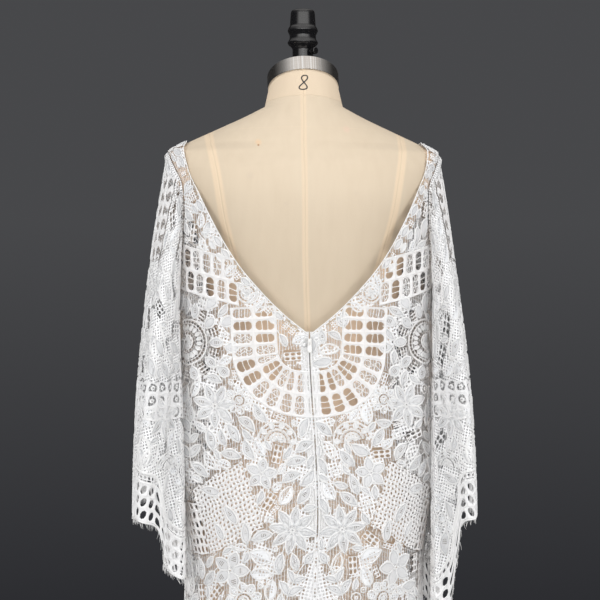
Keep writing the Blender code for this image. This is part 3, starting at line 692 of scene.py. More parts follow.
def armhole_loop(side):
    """Points round the armhole, from the shoulder tip down the back and up the front."""
    high = (1 - np.cos(np.linspace(0, math.pi, 14))) / 2
    z = ARMHOLE_TOP_Z + (UNDERARM_Z - ARMHOLE_TOP_Z) * high
    half = []
    for front in (False, True):
        sizes, x = gown_sizes(z), armhole_edge(z, front)
        reach = sizes[:, 2] if front else sizes[:, 1]
        y = reach * np.clip(1 - (x / sizes[:, 0]) ** sizes[:, 3], 0, 1) ** (1 / sizes[:, 3])
        half.append(np.stack([x + 0.0015, -y if front else y, z - 0.0005], axis=1))
    loop = np.concatenate([half[0], half[1][-2:0:-1]])
    return loop * np.array([side, 1, 1])


# %% Maps of the sleeves
class Sleeve:
    """A bell sleeve as a map, with its hem and its top as closed loops."""

    def __init__(self, side):
        folds = np.array(SLEEVE_FOLDS, float)
        hem = folds[:, [1, 2, 3 if side > 0 else 4]]
        if side < 0:                  # the right sleeve hangs a little closer to the body
            hem[:, 0] -= RIGHT_IN * np.clip((hem[:, 0] - 0.205) / 0.02, 0, 1)
        hem = hem * np.array([side, 1, 1])
        fine = smooth_loop(hem, folds[:, 0], np.linspace(0, 1, 2001)[:-1])
        steps = np.linalg.norm(np.roll(fine, -1, axis=0) - fine, axis=1)
        length = running(steps)
        self.columns = int(length[-1] / 0.0045)
        even = np.arange(self.columns) * length[-1] / self.columns
        shares = np.interp(even, length, np.linspace(0, 1, 2001))
        top = armhole_loop(side)
        top = smooth_loop(top, np.arange(len(top)) / len(top), shares)
        hem = smooth_loop(hem, folds[:, 0], shares)
        level = running(np.linalg.norm((np.roll(hem, -1, axis=0) - hem)[:, :2], axis=1))
        self.across, self.round = level, float(level[-1])
        scallop = 0.006 * np.abs(np.sin(math.pi * length[-1] * np.arange(self.columns)
                                        / self.columns / SCALLOP))
        hem = hem - np.stack([0 * scallop, 0 * scallop, scallop], axis=1)
        fall = np.linspace(0, 1, SLEEVE_ROWS + 1)[:, None, None]
        spread = 1 - (1 - fall) ** SLEEVE_FLARE
        points = top[None] + (hem - top)[None] * np.concatenate([spread, spread, fall], axis=2)
        ripple = (0.0012 * np.sin(level[:-1] * math.tau / 0.043 + 1)
                  + 0.0010 * np.sin(level[:-1] * math.tau / 0.027))
        self.top, self.hem = top, hem
        points = self.off_gown(points)
        out = surface_normals(points, wrap=True)
        flip = np.sign((out[..., 0] * (points[..., 0] - points[..., 0].mean(axis=1, keepdims=True))).mean())
        points = points + out * flip * (ripple[None, :, None] * np.sin(fall * math.pi * 0.62) - 0.0007)
        self.points, self.normals = points, surface_normals(points, wrap=True) * flip

    def off_gown(self, points):
        """Points moved out to lie clear of the gown's body, except the first row."""
        z = points[..., 2]
        sizes = gown_sizes(z)
        turn = np.degrees(np.arctan2(points[..., 0] / sizes[..., 0], points[..., 1] / sizes[..., 1]))
        room = WALL + SLEEVE_OFF + fold_depth(turn, z)
        room[0] = 0
        reach = np.where(points[..., 1] > 0, sizes[..., 1], sizes[..., 2]) + room
        within = (np.abs(points[..., 0]) / (sizes[..., 0] + room)) ** sizes[..., 3] \
            + (np.abs(points[..., 1]) / reach) ** sizes[..., 3]
        out = np.where((within < 1) & (room > 0), np.maximum(within, 1e-9) ** (-1 / sizes[..., 3]), 1.0)
        return points * np.stack([out, out, np.ones_like(out)], axis=-1)

    def column(self, across):
        """The map's column at a place round the sleeve, which may lie between two."""
        numbers = np.arange(self.columns + 1)
        return np.interp(np.asarray(across) % self.round, self.across, numbers) % self.columns

    def ends(self, column):
        """The heights of the sleeve's hem and of its top at a column."""
        k = column.astype(int)
        t, n = column - k, (k + 1) % self.columns
        return [loop[k, 2] * (1 - t) + loop[n, 2] * t for loop in (self.hem, self.top)]

    def hem_height(self, across):
        column = self.column(across)
        return np.interp(column, np.arange(self.columns + 1), np.append(self.hem[:, 2], self.hem[0, 2]))

    def keep(self, across, up):
        low, high = self.ends(self.column(across))
        return across, np.clip(up, low, high), (up > low) & (up < high)

    def place(self, across, up, lift=0.0):
        column = self.column(across)
        low, high = self.ends(column)
        row = np.clip((high - up) / (high - low), 0, 1) * SLEEVE_ROWS
        return look_up(self.points, self.normals, row, column, lift)


sleeves = {side: Sleeve(side) for side in (1, -1)}
print("sleeves: %.3f and %.3f m round their hems" % (sleeves[1].round, sleeves[-1].round))

# %% [markdown]
# ## Drawing lace on flat cloth
# All of the lace is made of three things: cords, which are raised threads; leaves, which are filled
# patches with a cord round them; and cells, which are openings with a knitted wall between them.
# `Lace` collects them as flat bands of points with a lift above the net, and keeps a coarse map of
# the ground that is taken, so that later motifs can be laid into the gaps.

# %% Flat lace
# The numbers of a lace piece's finishes; an open leaf has no fill, so its number isn't used.
CORD, FILL, GROUND, PIERCED, OPEN_LEAF = range(5)
MAP_CELL = 0.002                      # the map of taken ground has squares of this size


def spaced(path, step, closed=False):
    """The path again, with its points an even step apart."""
    path = np.asarray(path, float)
    if closed:
        path = np.concatenate([path, path[:1]])
    length = running(np.linalg.norm(np.diff(path, axis=0), axis=1))
    count = max(int(round(length[-1] / step)), 3)
    at = np.linspace(0, length[-1], count + 1)[:count if closed else count + 1]
    return np.stack([np.interp(at, length, path[:, k]) for k in range(2)], axis=1)


def circle(centre, radius, count):
    """Points evenly round a circle."""
    turn = np.linspace(0, math.tau, count, endpoint=False)
    return np.asarray(centre) + radius * np.stack([np.cos(turn), np.sin(turn)], axis=1)


def lobed(count=3):
    """The outline of a slot in a unit square, with count rounded lobes one above another."""
    side = []
    for k in range(count):
        low = -1 + 2 * k / count
        first, last = k == 0, k == count - 1
        rises, widths = (0.30, 0.70, 0.98), (0.97, 0.97, 0.80)
        if first:
            rises, widths = (0.07, 0.30, 0.52, 0.70, 0.98), (0.50, 0.80, 0.95, 0.97, 0.80)
        if last:
            rises, widths = (0.30, 0.48, 0.70, 0.93), (0.97, 0.95, 0.80, 0.50)
        side += [(wide, low + rise * 2 / count) for rise, wide in zip(rises, widths)]
    right = np.array([(0.0, -1.0)] + side + [(0.0, 1.0)])
    return np.concatenate([right, (right * (-1, 1))[-2:0:-1]])


LOBED = lobed()
print("a slot's outline has", len(LOBED), "points")


def lifted(path, rise):
    """Flat points, each with its lift above the net."""
    return np.concatenate([path, np.full((len(path), 1), rise)], axis=1)


# %% Lace as bands of points
class Lace:
    """Cords, leaves and cells on one flat cloth, and a map of the ground that they take."""

    def __init__(self, cloth, width, height):
        self.cloth = cloth
        self.points, self.uv, self.faces, self.kinds, self.count = [], [], [], [], 0
        across = np.arange(0, width, MAP_CELL) + MAP_CELL / 2
        up = np.arange(0, height, MAP_CELL) + MAP_CELL / 2
        grid = np.meshgrid(across, up, indexing="ij")
        self.outside = ~cloth.keep(*grid)[2]
        self.taken = self.outside.copy()
        self.open = np.zeros(self.taken.shape)
        self.base = 0.0                # extra lift, for what lies over another motif

    def stamp(self, places, opened=0.0):
        """Mark the ground under these places as taken. Opened is 1 with no net, 0.3 with its threads."""
        i, j = (np.asarray(places) / MAP_CELL).astype(int).reshape(-1, 2).T
        fits = (i >= 0) & (j >= 0) & (i < self.taken.shape[0]) & (j < self.taken.shape[1])
        self.taken[i[fits], j[fits]] = True
        if opened:
            self.open[i[fits], j[fits]] = opened

    def band(self, rows, kind, closed=False, uv=None):
        """Quads over rows of (across, up, lift); closed joins the last row to the first."""
        n, m = rows.shape[:2]
        faces = strip_faces(n, m, closed)
        if uv is None:
            step = np.linalg.norm(np.diff(rows[:, 0, :2], axis=0), axis=1)
            along = running(step)
            side = np.linalg.norm(rows[:, :, :2] - rows[:, :1, :2], axis=2)
            uv = np.stack([np.repeat(along[:, None], m, axis=1), side], axis=-1)
        self.add(rows.reshape(-1, 3), faces, uv.reshape(-1, 2), kind)

    def add(self, points, faces, uv, kind):
        self.points.append(points + np.array([0, 0, self.base]))
        self.uv.append(uv)
        self.faces.append(faces + self.count)
        self.kinds.append(np.full(len(faces), kind))
        self.count += len(points)

    def cord(self, path, width=0.0022, height=0.0013, closed=False, step=0.0038):
        """A raised thread along a path."""
        self.ridge(spaced(path, step, closed), width, height, closed)

    def ridge(self, path, width, height, closed=False):
        """A raised thread through these very points."""
        if closed:
            tangent = np.roll(path, -1, axis=0) - np.roll(path, 1, axis=0)
        else:
            tangent = np.gradient(path, axis=0)
        tangent /= np.maximum(np.linalg.norm(tangent, axis=1, keepdims=True), 1e-9)
        left = np.stack([-tangent[:, 1], tangent[:, 0]], axis=1)
        profile = ((-0.5, 0.1), (0.0, 1.0), (0.5, 0.1)) if width < 0.0032 else \
            ((-0.5, 0.1), (-0.2, 0.95), (0.2, 0.95), (0.5, 0.1))
        rows = np.stack([lifted(path + left * side * width, rise * height) for side, rise in profile], axis=1)
        self.band(rows, CORD, closed)

    def leaf(self, base, tip, half_width, belly=0.85, blunt=0.8, bend=0.0, cord=0.0026, kind=FILL):
        """A filled leaf or petal: belly under 1 is widest near the base, over 1 near the tip."""
        base, tip = np.asarray(base, float), np.asarray(tip, float)
        axis = tip - base
        long = np.linalg.norm(axis)
        left = np.array([-axis[1], axis[0]]) / long
        steps = 5 if long < 0.013 else 6 if long < 0.024 else 8
        t = np.linspace(0, 1, steps)
        width = half_width * np.sin(math.pi * t ** belly) ** blunt
        middle = base + t[:, None] * axis + (bend * np.sin(math.pi * t))[:, None] * left * long
        sides = [middle + side * width[:, None] * left for side in (-1, 1)]
        lines = [(sides[0], 0.0003, -width), (middle, 0.0007, width * 0), (sides[1], 0.0003, width)]
        if half_width < 0.0035 and kind == FILL:
            lines = lines[::2]
        rows = np.stack([lifted(p, rise) for p, rise, _ in lines], axis=1)
        # across the leaf, the map is the way in from its edge, or from the middle if it is pierced
        off = [side if kind == PIERCED else width - np.abs(side) for _, _, side in lines]
        along = (t - 0.55) * long
        if kind != OPEN_LEAF:
            self.band(rows, kind, uv=np.stack([np.stack([along, v], axis=1) for v in off], axis=1))
        outline = np.concatenate([sides[0], sides[1][-2:0:-1]])
        self.ridge(outline, cord, 0.0015, closed=True)
        wide = np.linspace(-1.12, 1.12, 9)[None, :, None]
        fine = np.linspace(0, steps - 1, 19)
        dense = [np.stack([np.interp(fine, np.arange(steps), p[:, k]) for k in range(2)], axis=1)
                 for p in (middle, sides[1])]
        self.stamp(dense[0][:, None] + (dense[1] - dense[0])[:, None] * wide)

    def knot(self, centre, radius):
        """A small raised bead."""
        rim, eye = circle(centre, radius, 7), circle(centre, radius * 0.3, 7)
        self.band(np.stack([lifted(rim, 0.0004), lifted(eye, 0.0014)], axis=1), CORD, closed=True)

    def cells(self, place, along, out, wall, power=2.0, corners=8, bars=0, height=0.0012, shift=0.0,
              opened=1.0):
        """Openings in a lattice, with a wall between them.

        place(t, d) is where a lane's point lies on the cloth, and along and out are the lattice's
        lines in t and d. The openings are squarer at a higher power; shift slants them.
        """
        t0, d0 = (grid.ravel() for grid in np.meshgrid(along[:-1], out[:-1], indexing="ij"))
        t1, d1 = (grid.ravel() for grid in np.meshgrid(along[1:], out[1:], indexing="ij"))
        turn = np.arange(corners) * math.tau / corners    # a multiple of 8, so that the rim has its corners
        c, s = np.cos(turn), np.sin(turn)
        if bars:
            corners = len(LOBED)
            hole = LOBED
            c, s = hole.T
        else:
            hole = np.stack([np.sign(way) * np.abs(way) ** (2 / power) for way in (c, s)], axis=1)
        reach = np.maximum(np.abs(c), np.abs(s))
        rim = np.stack([c / reach, s / reach], axis=1)
        half = np.stack([(t1 - t0) / 2, (d1 - d0) / 2], axis=1)
        middle = np.stack([(t1 + t0) / 2, (d1 + d0) / 2], axis=1)
        at = []
        for shape, inset in ((rim, 0.0), (hole, wall)):
            reach = np.maximum(half - inset / 2, half * 0.12)
            local = shape[None] * reach[:, None]
            local[..., 0] += shift * local[..., 1]
            spot = middle[:, None] + local
            at.append(place(spot[..., 0], spot[..., 1]))
        count = len(t0)
        both = np.stack(at, axis=2)
        lift = np.broadcast_to(np.array([0.95, 0.1]) * height, both.shape[:3])
        rows = np.concatenate([both, lift[..., None]], axis=-1)
        faces = repeated(strip_faces(corners, 2, closed=True), count, corners * 2)
        uv = np.stack([np.repeat(np.arange(corners)[:, None] * 0.002, 2, axis=1),
                       np.tile([0, 0.002], (corners, 1))], axis=-1)
        uv = np.broadcast_to(uv, (count, corners, 2, 2))
        self.add(rows.reshape(-1, 3), faces, uv.reshape(-1, 2), GROUND)
        for k in range(bars):
            share = (k + 1) / (bars + 1) * 2 - 1
            for a, b, lean in zip(middle, half, rng.uniform(-0.10, 0.10, count)):
                run = np.linspace(-1, 1, 3)
                spot = np.stack([a[0] + run * b[0] * 0.9, a[1] + (share * 0.76 + run * lean) * b[1]], axis=1)
                self.ridge(place(spot[:, 0], spot[:, 1]), 0.0011, 0.0007)
        step = MAP_CELL * 0.6
        t = np.arange(along[0], along[-1], self.fineness(place, along, out, step, 0))
        d = np.arange(out[0], out[-1], self.fineness(place, along, out, step, 1))
        grid = np.meshgrid(t, d, indexing="ij")
        self.stamp(place(*grid), opened)
        if bars:
            self.veil(place, middle, half)

    def veil(self, place, middle, half):
        """Some slots keep the net's threads, and some have a wandering thread down them as well."""
        run = np.linspace(-0.74, 0.74, 10)
        for a, b in zip(middle, half):
            chance = rng.random()
            if chance < 0.55:
                u, v = np.meshgrid(np.linspace(-0.9, 0.9, 12), np.linspace(-0.9, 0.9, 26), indexing="ij")
                self.stamp(place(a[0] + u * b[0], a[1] + v * b[1]), 0.3)
            if chance < 0.40:
                for lean in (-0.25, 0.25):
                    sway = lean + 0.24 * np.sin(run * rng.uniform(4, 9) + rng.uniform(0, 6))
                    self.ridge(place(a[0] + sway * b[0], a[1] + run * b[1]), 0.0010, 0.0008)

    @staticmethod
    def fineness(place, along, out, step, which):
        """How far to go in t or d for one short step on the cloth, at the lattice's widest."""
        t = np.array([along[0], along[-1]])
        ends = []
        for d in (out[0], out[-1]):
            a, b = place(t[:1], np.array([d])), place(t[:1] + (1e-3 if which == 0 else 0),
                                                        np.array([d]) + (1e-3 if which else 0))
            ends.append(np.linalg.norm(b - a) / 1e-3)
        return step / max(max(ends), 1e-6)


# %% Lanes
def straight(origin, right, up):
    """A lane over a parallelogram: t runs along right, and d along up."""
    origin, right, up = (np.asarray(v, float) for v in (origin, right, up))
    right, up = right / np.linalg.norm(right), up / np.linalg.norm(up)
    return lambda t, d: origin + np.asarray(t)[..., None] * right + np.asarray(d)[..., None] * up


def uneven(lane, sway):
    """The same lane with its lines pulled a little out of true."""
    return lambda t, d: lane(t + sway * np.sin(310 * d + 90 * t), d + 1.2 * sway * np.sin(270 * t + 130 * d))


def fan_lane(centre):
    """t is an angle from straight across, d the distance from the centre."""
    return lambda t, d: np.stack([centre[0] + np.asarray(d) * np.cos(t),
                                  centre[1] + np.asarray(d) * np.sin(t)], axis=-1)


def rail(lane, start, end, out, count):
    """A line that follows a lane, out at one distance."""
    return lane(np.linspace(start, end, count), np.full(count, out))


def right_of(line):
    """The level direction to the right of a line, at each of its points."""
    along = np.gradient(line, axis=0)
    return np.stack([along[:, 1], -along[:, 0]], axis=1) / np.linalg.norm(along, axis=1, keepdims=True)


def beside(line, out):
    """A lane along a line: t is the way along it, d the distance out from it."""
    middle = line + out * 0.04
    length = running(np.linalg.norm(np.diff(middle, axis=0), axis=1))

    def place(t, d):
        k = np.interp(t, length, np.arange(len(line)))
        way = np.stack([np.interp(k, np.arange(len(line)), out[:, n]) for n in range(2)], axis=-1)
        way /= np.linalg.norm(way, axis=-1, keepdims=True)
        spot = np.stack([np.interp(k, np.arange(len(line)), line[:, n]) for n in range(2)], axis=-1)
        return spot + way * np.asarray(d)[..., None]

    return place, float(length[-1])


# %% [markdown]
# ## Motifs
# A flower is leaves round a knot, a rosette is round petals round a ring of small cells, and a
# sunburst is a ring of cells crossed by spokes. `fill_gaps` then lays leaves into whatever ground
# is left, the largest first, as a lace designer fills the space between the main flowers.

# %% Flowers, rosettes, fans and sprays
def toward(centre, turn, distance):
    """The point at this distance from a centre, at this turn."""
    return np.asarray(centre) + distance * np.array([math.cos(turn), math.sin(turn)])


def ray_leaf(lace, centre, turn, near, far, half_width, **more):
    """A leaf along a ray from a centre."""
    lace.leaf(toward(centre, turn, near), toward(centre, turn, far), half_width, **more)


def flower(lace, centre, radius, petals=8, turn=0.0, core=True):
    """Petals round a bead, each with a small thread diamond inside if there is a core."""
    for k in range(petals):
        way = turn + math.tau * k / petals
        half = radius * math.sin(math.pi / petals) * 0.50
        ray_leaf(lace, centre, way, radius * 0.10, radius, half, belly=0.9, blunt=0.75, cord=0.0028)
        if core:
            inner = np.array([toward(centre, way, radius * r) + w * half * 0.38 * np.array(
                [-math.sin(way), math.cos(way)]) for r, w in ((0.32, 0), (0.55, 1), (0.84, 0), (0.55, -1))])
            lace.ridge(inner, 0.0013, 0.0018, closed=True)
    lace.knot(centre, radius * 0.13)


def rosette(lace, centre, radius, petals=7, turn=0.0):
    """Pierced petals round a ring of small holes."""
    lace.cells(fan_lane(centre), np.linspace(0, math.tau, int(radius / 0.0017) + 1),
               np.array([0.27, 0.43]) * radius, radius * 0.07, power=2.4)
    lace.cord(circle(centre, radius * 0.25, 12), 0.0019, closed=True)
    ray_leaf(lace, centre, turn, -radius * 0.17, radius * 0.17, radius * 0.10, cord=0.0014)
    lace.cord(circle(centre, radius * 0.46, 18), 0.0022, closed=True)
    lace.stamp(circle(centre, radius * 0.12, 12))
    for k in range(petals):
        way = turn + math.tau * k / petals
        ray_leaf(lace, centre, way, radius * 0.46, radius,
                 radius * math.sin(math.pi / petals) * 0.62, belly=1.25, blunt=0.5, kind=PIERCED)


def sunburst(lace, centre, radius, start, end, rings=2, spokes=True):
    """A fan: leaves at its heart, rings of small holes, and ribs of holes between leaves."""
    lane = fan_lane(centre)
    span = end - start

    def arc(share, width):
        lace.cord(rail(lane, start, end, share * radius, 44), width)

    for k in range(5):
        way = start + span * (k + 0.5) / 5
        base, tip = lane(np.array([way, way]), np.array([0.07, 0.31]) * radius)
        lace.leaf(base, tip, radius * 0.062, cord=0.0021)
    arc(0.35, 0.0022)
    lace.cells(lane, np.linspace(start, end, int(span * radius * 0.42 / 0.0041)),
               np.array([0.38, 0.50]) * radius, 0.0020)
    arc(0.54, 0.0020)
    count = max(int(span * radius * 0.68 / 0.0125), 3)
    for k in range(count):
        at = start + span * np.array([k + 0.04, k + 0.27, k + 0.50]) / count
        lace.cells(lane, at, np.linspace(0.57, 0.86, rings + 2) * radius, 0.0019)
        way = start + span * (k + 0.75) / count
        base, tip = lane(np.array([way, way]), np.array([0.57, 0.88]) * radius)
        lace.leaf(base, tip, 0.0027 + 0.02 * radius, belly=1.2, blunt=0.6, cord=0.0022)
    arc(0.89, 0.0022)
    if spokes:
        lace.cells(lane, np.linspace(start, end, int(span * radius * 0.95 / 0.0046)),
                   np.array([0.91, 1.01]) * radius, 0.0019)
        arc(1.04, 0.0026)


def tulip(lace, base, turn, size):
    """A broad leaf with a small open eye, held by two slim ones."""
    tip = toward(base, turn, size)
    lace.leaf(base, tip, size * 0.30, belly=1.0, blunt=0.9, cord=0.0029)
    lace.cells(straight(toward(base, turn, size * 0.42) - np.array([0.003, 0]), (1, 0), (0, 1)),
               np.array([0, 0.003, 0.006]), np.array([0, 0.004]), 0.0012, power=3.0)
    for side in (-1, 1):
        start = toward(base, turn, size * 0.08)
        lace.leaf(start, toward(start, turn + side * 0.95, size * 0.72), size * 0.11, cord=0.0022,
                  bend=-0.10 * side)


def spray(lace, base, turn, size, pairs=3, bend=0.25):
    """A curved stem with leaves in pairs and one at its end."""
    t = np.linspace(0, 1, 12)
    way = np.array([math.cos(turn), math.sin(turn)])
    left = np.array([-way[1], way[0]])
    stem = np.asarray(base) + size * (t[:, None] * way + (bend * t ** 2)[:, None] * left)
    lace.cord(stem, 0.0018)
    for k in range(pairs):
        share = 0.22 + 0.62 * k / pairs
        spot = np.array([np.interp(share, t, stem[:, n]) for n in range(2)])
        lean = turn + math.atan(2 * bend * share)
        length = size * (0.40 - 0.07 * k)
        for side in (-1, 1):
            lace.leaf(spot, toward(spot, lean + side * 0.85, length), length * 0.22, bend=-0.08 * side)
    lean = turn + math.atan(2 * bend)
    lace.leaf(stem[-1], toward(stem[-1], lean, size * 0.34), size * 0.09)


# %% Small motifs for the gaps
def room_left(taken, most):
    """Rough distance from each free square to the nearest taken one, in squares."""
    room = np.where(taken, 0, most + 1).astype(np.int16)
    for k in range(most):
        best = room.copy()
        for i, j in ((0, 1), (0, -1), (1, 0), (-1, 0)):
            best = np.minimum(best, np.roll(room, (i, j), axis=(0, 1)) + 1)
        if k % 2:
            for i, j in ((1, 1), (1, -1), (-1, 1), (-1, -1)):
                best = np.minimum(best, np.roll(room, (i, j), axis=(0, 1)) + 1)
        room = best
    return room


def footprint(half_length, half_width, turn):
    """Map squares under an ellipse that leans at this turn."""
    reach = int(max(half_length, half_width) / MAP_CELL) + 1
    i, j = np.meshgrid(np.arange(-reach, reach + 1), np.arange(-reach, reach + 1), indexing="ij")
    along, side = i * math.cos(turn) + j * math.sin(turn), -i * math.sin(turn) + j * math.cos(turn)
    inside = (along * MAP_CELL / half_length) ** 2 + (side * MAP_CELL / half_width) ** 2 <= 1
    return np.stack([i[inside], j[inside]], axis=1)


def small_motif(lace, centre, flow, size, kind):
    """One motif for a gap: a leaf, a pierced or open leaf, a group of holes, a ring or a flower."""
    half = size * 0.96
    base, tip = toward(centre, flow, -half), toward(centre, flow, half)
    cord = 0.0028 if size > 0.008 else 0.0023
    bend = rng.uniform(-0.10, 0.10)
    if kind < 0.50:
        lace.leaf(base, tip, size * 0.44, belly=rng.uniform(0.85, 1.15), blunt=0.72, bend=bend, cord=cord)
        if size > 0.0085:
            left = np.array([-math.sin(flow), math.cos(flow)])
            inner = np.array([toward(centre, flow, size * a) + size * b * left
                              for a, b in ((-0.66, 0), (-0.2, 0.24), (0.62, 0), (-0.2, -0.24))])
            lace.ridge(inner, 0.0010, 0.0014, closed=True)
    elif kind < 0.68 and size > 0.0075:
        lace.leaf(base, tip, size * 0.50, belly=0.9, blunt=0.66, cord=cord, kind=PIERCED)
    elif kind < 0.76 and size > 0.0085:
        lace.leaf(base, tip, size * 0.46, belly=1.0, bend=bend, cord=cord, kind=OPEN_LEAF)
        lace.ridge(np.array([toward(centre, flow, -half * 0.8), centre, toward(centre, flow, half * 0.6)]),
                   0.0014, 0.0010)
    elif kind < 0.92:
        columns = 3 if size > 0.006 else 2
        right, up = (math.cos(flow), math.sin(flow)), (-math.sin(flow), math.cos(flow))
        corner = toward(centre, flow, -size * 0.85) - size * 0.40 * np.array(up)
        lace.cells(straight(corner, right, up), np.linspace(0, size * 1.7, columns + 1),
                   np.array([0, 0.4, 0.8]) * size, 0.0019 if size > 0.006 else 0.0015, 2.2)
        lace.stamp(centre + footprint(size, size * 0.5, flow) * MAP_CELL)
    else:
        lace.cord(circle(centre, size * 0.46, 8), 0.0020, closed=True, step=size * 0.36)
        lace.knot(centre, size * 0.20)
        lace.stamp(centre + footprint(size * 0.6, size * 0.6, 0) * MAP_CELL)
    if kind < 0.76:
        end = toward(centre, flow, half)
        tail = toward(end, flow + rng.uniform(-0.4, 0.4), size * 0.7)
        lace.ridge(np.array([end, tail]), 0.0015, 0.0009)


TRIES = 7000                          # places looked at for motifs of each size


def fill_gaps(lace, sizes, lowest=0.0, highest=9.0):
    """Lay small motifs into the free ground, largest first; sizes are half their length, in metres."""
    laid = 0
    for size in sizes:
        prints = [footprint(size * 1.08, size * 0.60, math.pi * k / 12) for k in range(12)]
        narrow = int(size * 0.55 / MAP_CELL)
        free = np.argwhere(room_left(lace.taken, narrow + 1) >= narrow)
        up = (free[:, 1] + 0.5) * MAP_CELL
        free = free[(up > lowest) & (up < highest)]
        rng.shuffle(free)
        for spot in free[:TRIES]:
            centre = (spot + 0.5) * MAP_CELL
            flow = math.pi / 2 + 0.9 * math.sin(23 * centre[0] + 15 * centre[1]) + rng.normal(0, 0.45)
            ground = spot + prints[int(round(flow / math.pi * 12)) % 12]
            off = ground.min() < 0 or (ground >= lace.taken.shape).any()
            if off or lace.taken[ground[:, 0], ground[:, 1]].any():
                continue
            small_motif(lace, centre, flow, size, rng.random())
            laid += 1
    return laid


# %% [markdown]
# ## Hanging the lace
# The flat lace is placed through a panel's map. What lies past an edge is folded back to the edge
# line, and what lies wholly outside is dropped. Each face is turned to look out of the cloth.

# %% Hang lace and net
LACE_LIFT = 0.0002                    # the lace lies this far outside its net


def hang(lace, cloth, name, finishes):
    """The cords, leaves and cells of a flat lace as one piece on its cloth."""
    points, uv = np.concatenate(lace.points), np.concatenate(lace.uv)
    faces, kinds = np.concatenate(lace.faces), np.concatenate(lace.kinds)
    across, up, inside = cloth.keep(points[:, 0], points[:, 1])
    shown = inside[faces].any(axis=1)
    faces, kinds = faces[shown], kinds[shown]
    placed = cloth.place(across, up, points[:, 2] + LACE_LIFT)
    normal = face_normals(placed, faces)
    solid = np.linalg.norm(normal, axis=1) > 4e-8
    faces, kinds, normal = faces[solid], kinds[solid], normal[solid]
    lifted = cloth.place(across[faces[:, 0]], up[faces[:, 0]], np.full(len(faces), 1.0))
    out = lifted - cloth.place(across[faces[:, 0]], up[faces[:, 0]], np.zeros(len(faces)))
    wrong = (normal * out).sum(axis=1) < 0
    faces[wrong] = faces[wrong][:, ::-1]
    used, faces = np.unique(faces, return_inverse=True)
    faces = faces.reshape(-1, 4)
    piece = make_piece(name, placed[used], faces, uv[used], kinds)
    wear(piece, *finishes)
    print(name, "%.0f thousand triangles" % (len(faces) / 500))
    return piece


def paint_ground(piece, flat, lace, most=0.75):
    """Where the net is open, and where it is a dense ground: near motifs, by an uneven reach."""
    i, j = np.clip((flat / MAP_CELL).astype(int), 0, np.array(lace.open.shape) - 1).T
    near = room_left(lace.taken, 5)
    across, up = np.meshgrid(np.arange(lace.open.shape[0]), np.arange(lace.open.shape[1]), indexing="ij")
    reach = most + 0.8 * np.sin(across * 0.21 + 1.3 * np.sin(up * 0.13)) \
        + 0.7 * np.sin(up * 0.17 - across * 0.09)
    paint(piece, "open", lace.open[i, j])
    paint(piece, "dense", ((near <= reach) & (lace.open == 0))[i, j])


def hang_net(name, across, up, points, lace, finish):
    """The net ground as a thin shell, and where it is open or dense as painted attributes."""
    rows, columns = across.shape
    faces = faces_grid(rows, columns)
    flat = np.stack([across, up], axis=-1).reshape(-1, 2)
    points = points.reshape(-1, 3)
    solid = np.linalg.norm(face_normals(points, faces), axis=1) > 1e-9
    piece = make_piece(name, points, faces[solid], flat)
    paint_ground(piece, flat, lace)
    wear(piece, finish)
    return piece


def panel_net(name, cloth, lace, finish):
    """Finer where the gown is close to the body than down the skirt."""
    fine = np.flatnonzero(cloth.z > (0.70 if cloth.front else 0.62))
    low = np.arange(0, fine[0], 3)
    upper = [k for k in fine if cloth.z[k] < 1.345 or (k - fine[0]) % 3 == 0]
    rows = np.concatenate([low, upper[::2] if cloth.front else upper, [len(cloth.z) - 1]]).astype(int)
    count = 71 if cloth.front else 101
    share = np.linspace(0, 1, count)[None, :]
    start, end = cloth.start[rows][:, None], cloth.end[rows][:, None]
    across = start + (end - start) * share
    up = np.repeat(cloth.up[rows][:, None], count, axis=1)
    points = cloth.place(across, up, np.zeros(across.shape))
    if cloth.side * (-1 if cloth.front else 1) > 0:
        across, up, points = (grid[:, ::-1] for grid in (across, up, points))
    return hang_net(name, across, up, points, lace, finish)


# %% [markdown]
# ## Finishes of the cloth
# The cords are bleached cotton with a twist along them. The filled leaves are closely knitted and
# a little duller, with fine ribs and a groove inside their cord, whose shade is painted darker grey.
# The walls between openings are knitted too. The net ground is fine threads with nothing between
# them, so its alpha is drawn.
# Where the net is painted `open` it has no threads, or its threads only, and where it is painted
# `dense` it is a tight ground with rows of small round holes.

# %% Cord finish
cord_finish = Finish("white_cord", (0.95, 0.95, 0.952), 0.75)
u, v = cord_finish.cloth()
twist = (u + v * 0.8).wave(0.0011)
cord_finish.bump(twist * 0.5 + cord_finish.noise(900.0), 0.0003, 0.6)
print("cord finish:", len(cord_finish.tree.nodes), "nodes")


# %% Fill finishes
def knitted(name):
    """The fill of a leaf: fine ribs in two directions, and an uneven whiteness."""
    finish = Finish(name, (0.70, 0.71, 0.73), 0.85)
    u, v = finish.cloth()
    rib = u.wave(0.0016) * 0.5 + (v + u * 0.2).wave(0.0010) * 0.5
    mottle = finish.noise(60.0) * 2 + finish.noise(420.0) * 0.8
    colour = finish.blend((rib * 0.5 + mottle).ramp(0.2, 2.4), (0.81, 0.822, 0.845), (0.90, 0.905, 0.915))
    return finish, u, v, rib, colour


fill_finish, u, v, rib, colour = knitted("knitted_fill")
# painted shade: a band just inside each leaf's cord is painted darker grey, for the shade in the groove there
groove = v.ramp(0.0011, 0.0014) * v.ramp(0.0023, 0.0019)
colour = fill_finish.blend(groove * 0.8, colour, (0.50, 0.505, 0.53))
# some of the larger leaves have an eye of a few small holes at their widest; the holes aren't cut but painted
# dark brown, a painted shadow of what lies behind them
eye = v.ramp(0.0038, 0.0044) * abs(u - 0.0006).ramp(0.0046, 0.0040)
eye = eye * (u + 0.0002).wave(0.0024).ramp(-0.1, 0.5) * fill_finish.noise(16.0, 0.0).ramp(0.50, 0.53)
fill_finish.set("Base Color", fill_finish.blend(eye * 0.85, colour, (0.20, 0.165, 0.14)))
fill_finish.bump(rib * 0.6 + v.ramp(0.0013, 0.0019) * 0.8 - eye, 0.0005, 0.8)

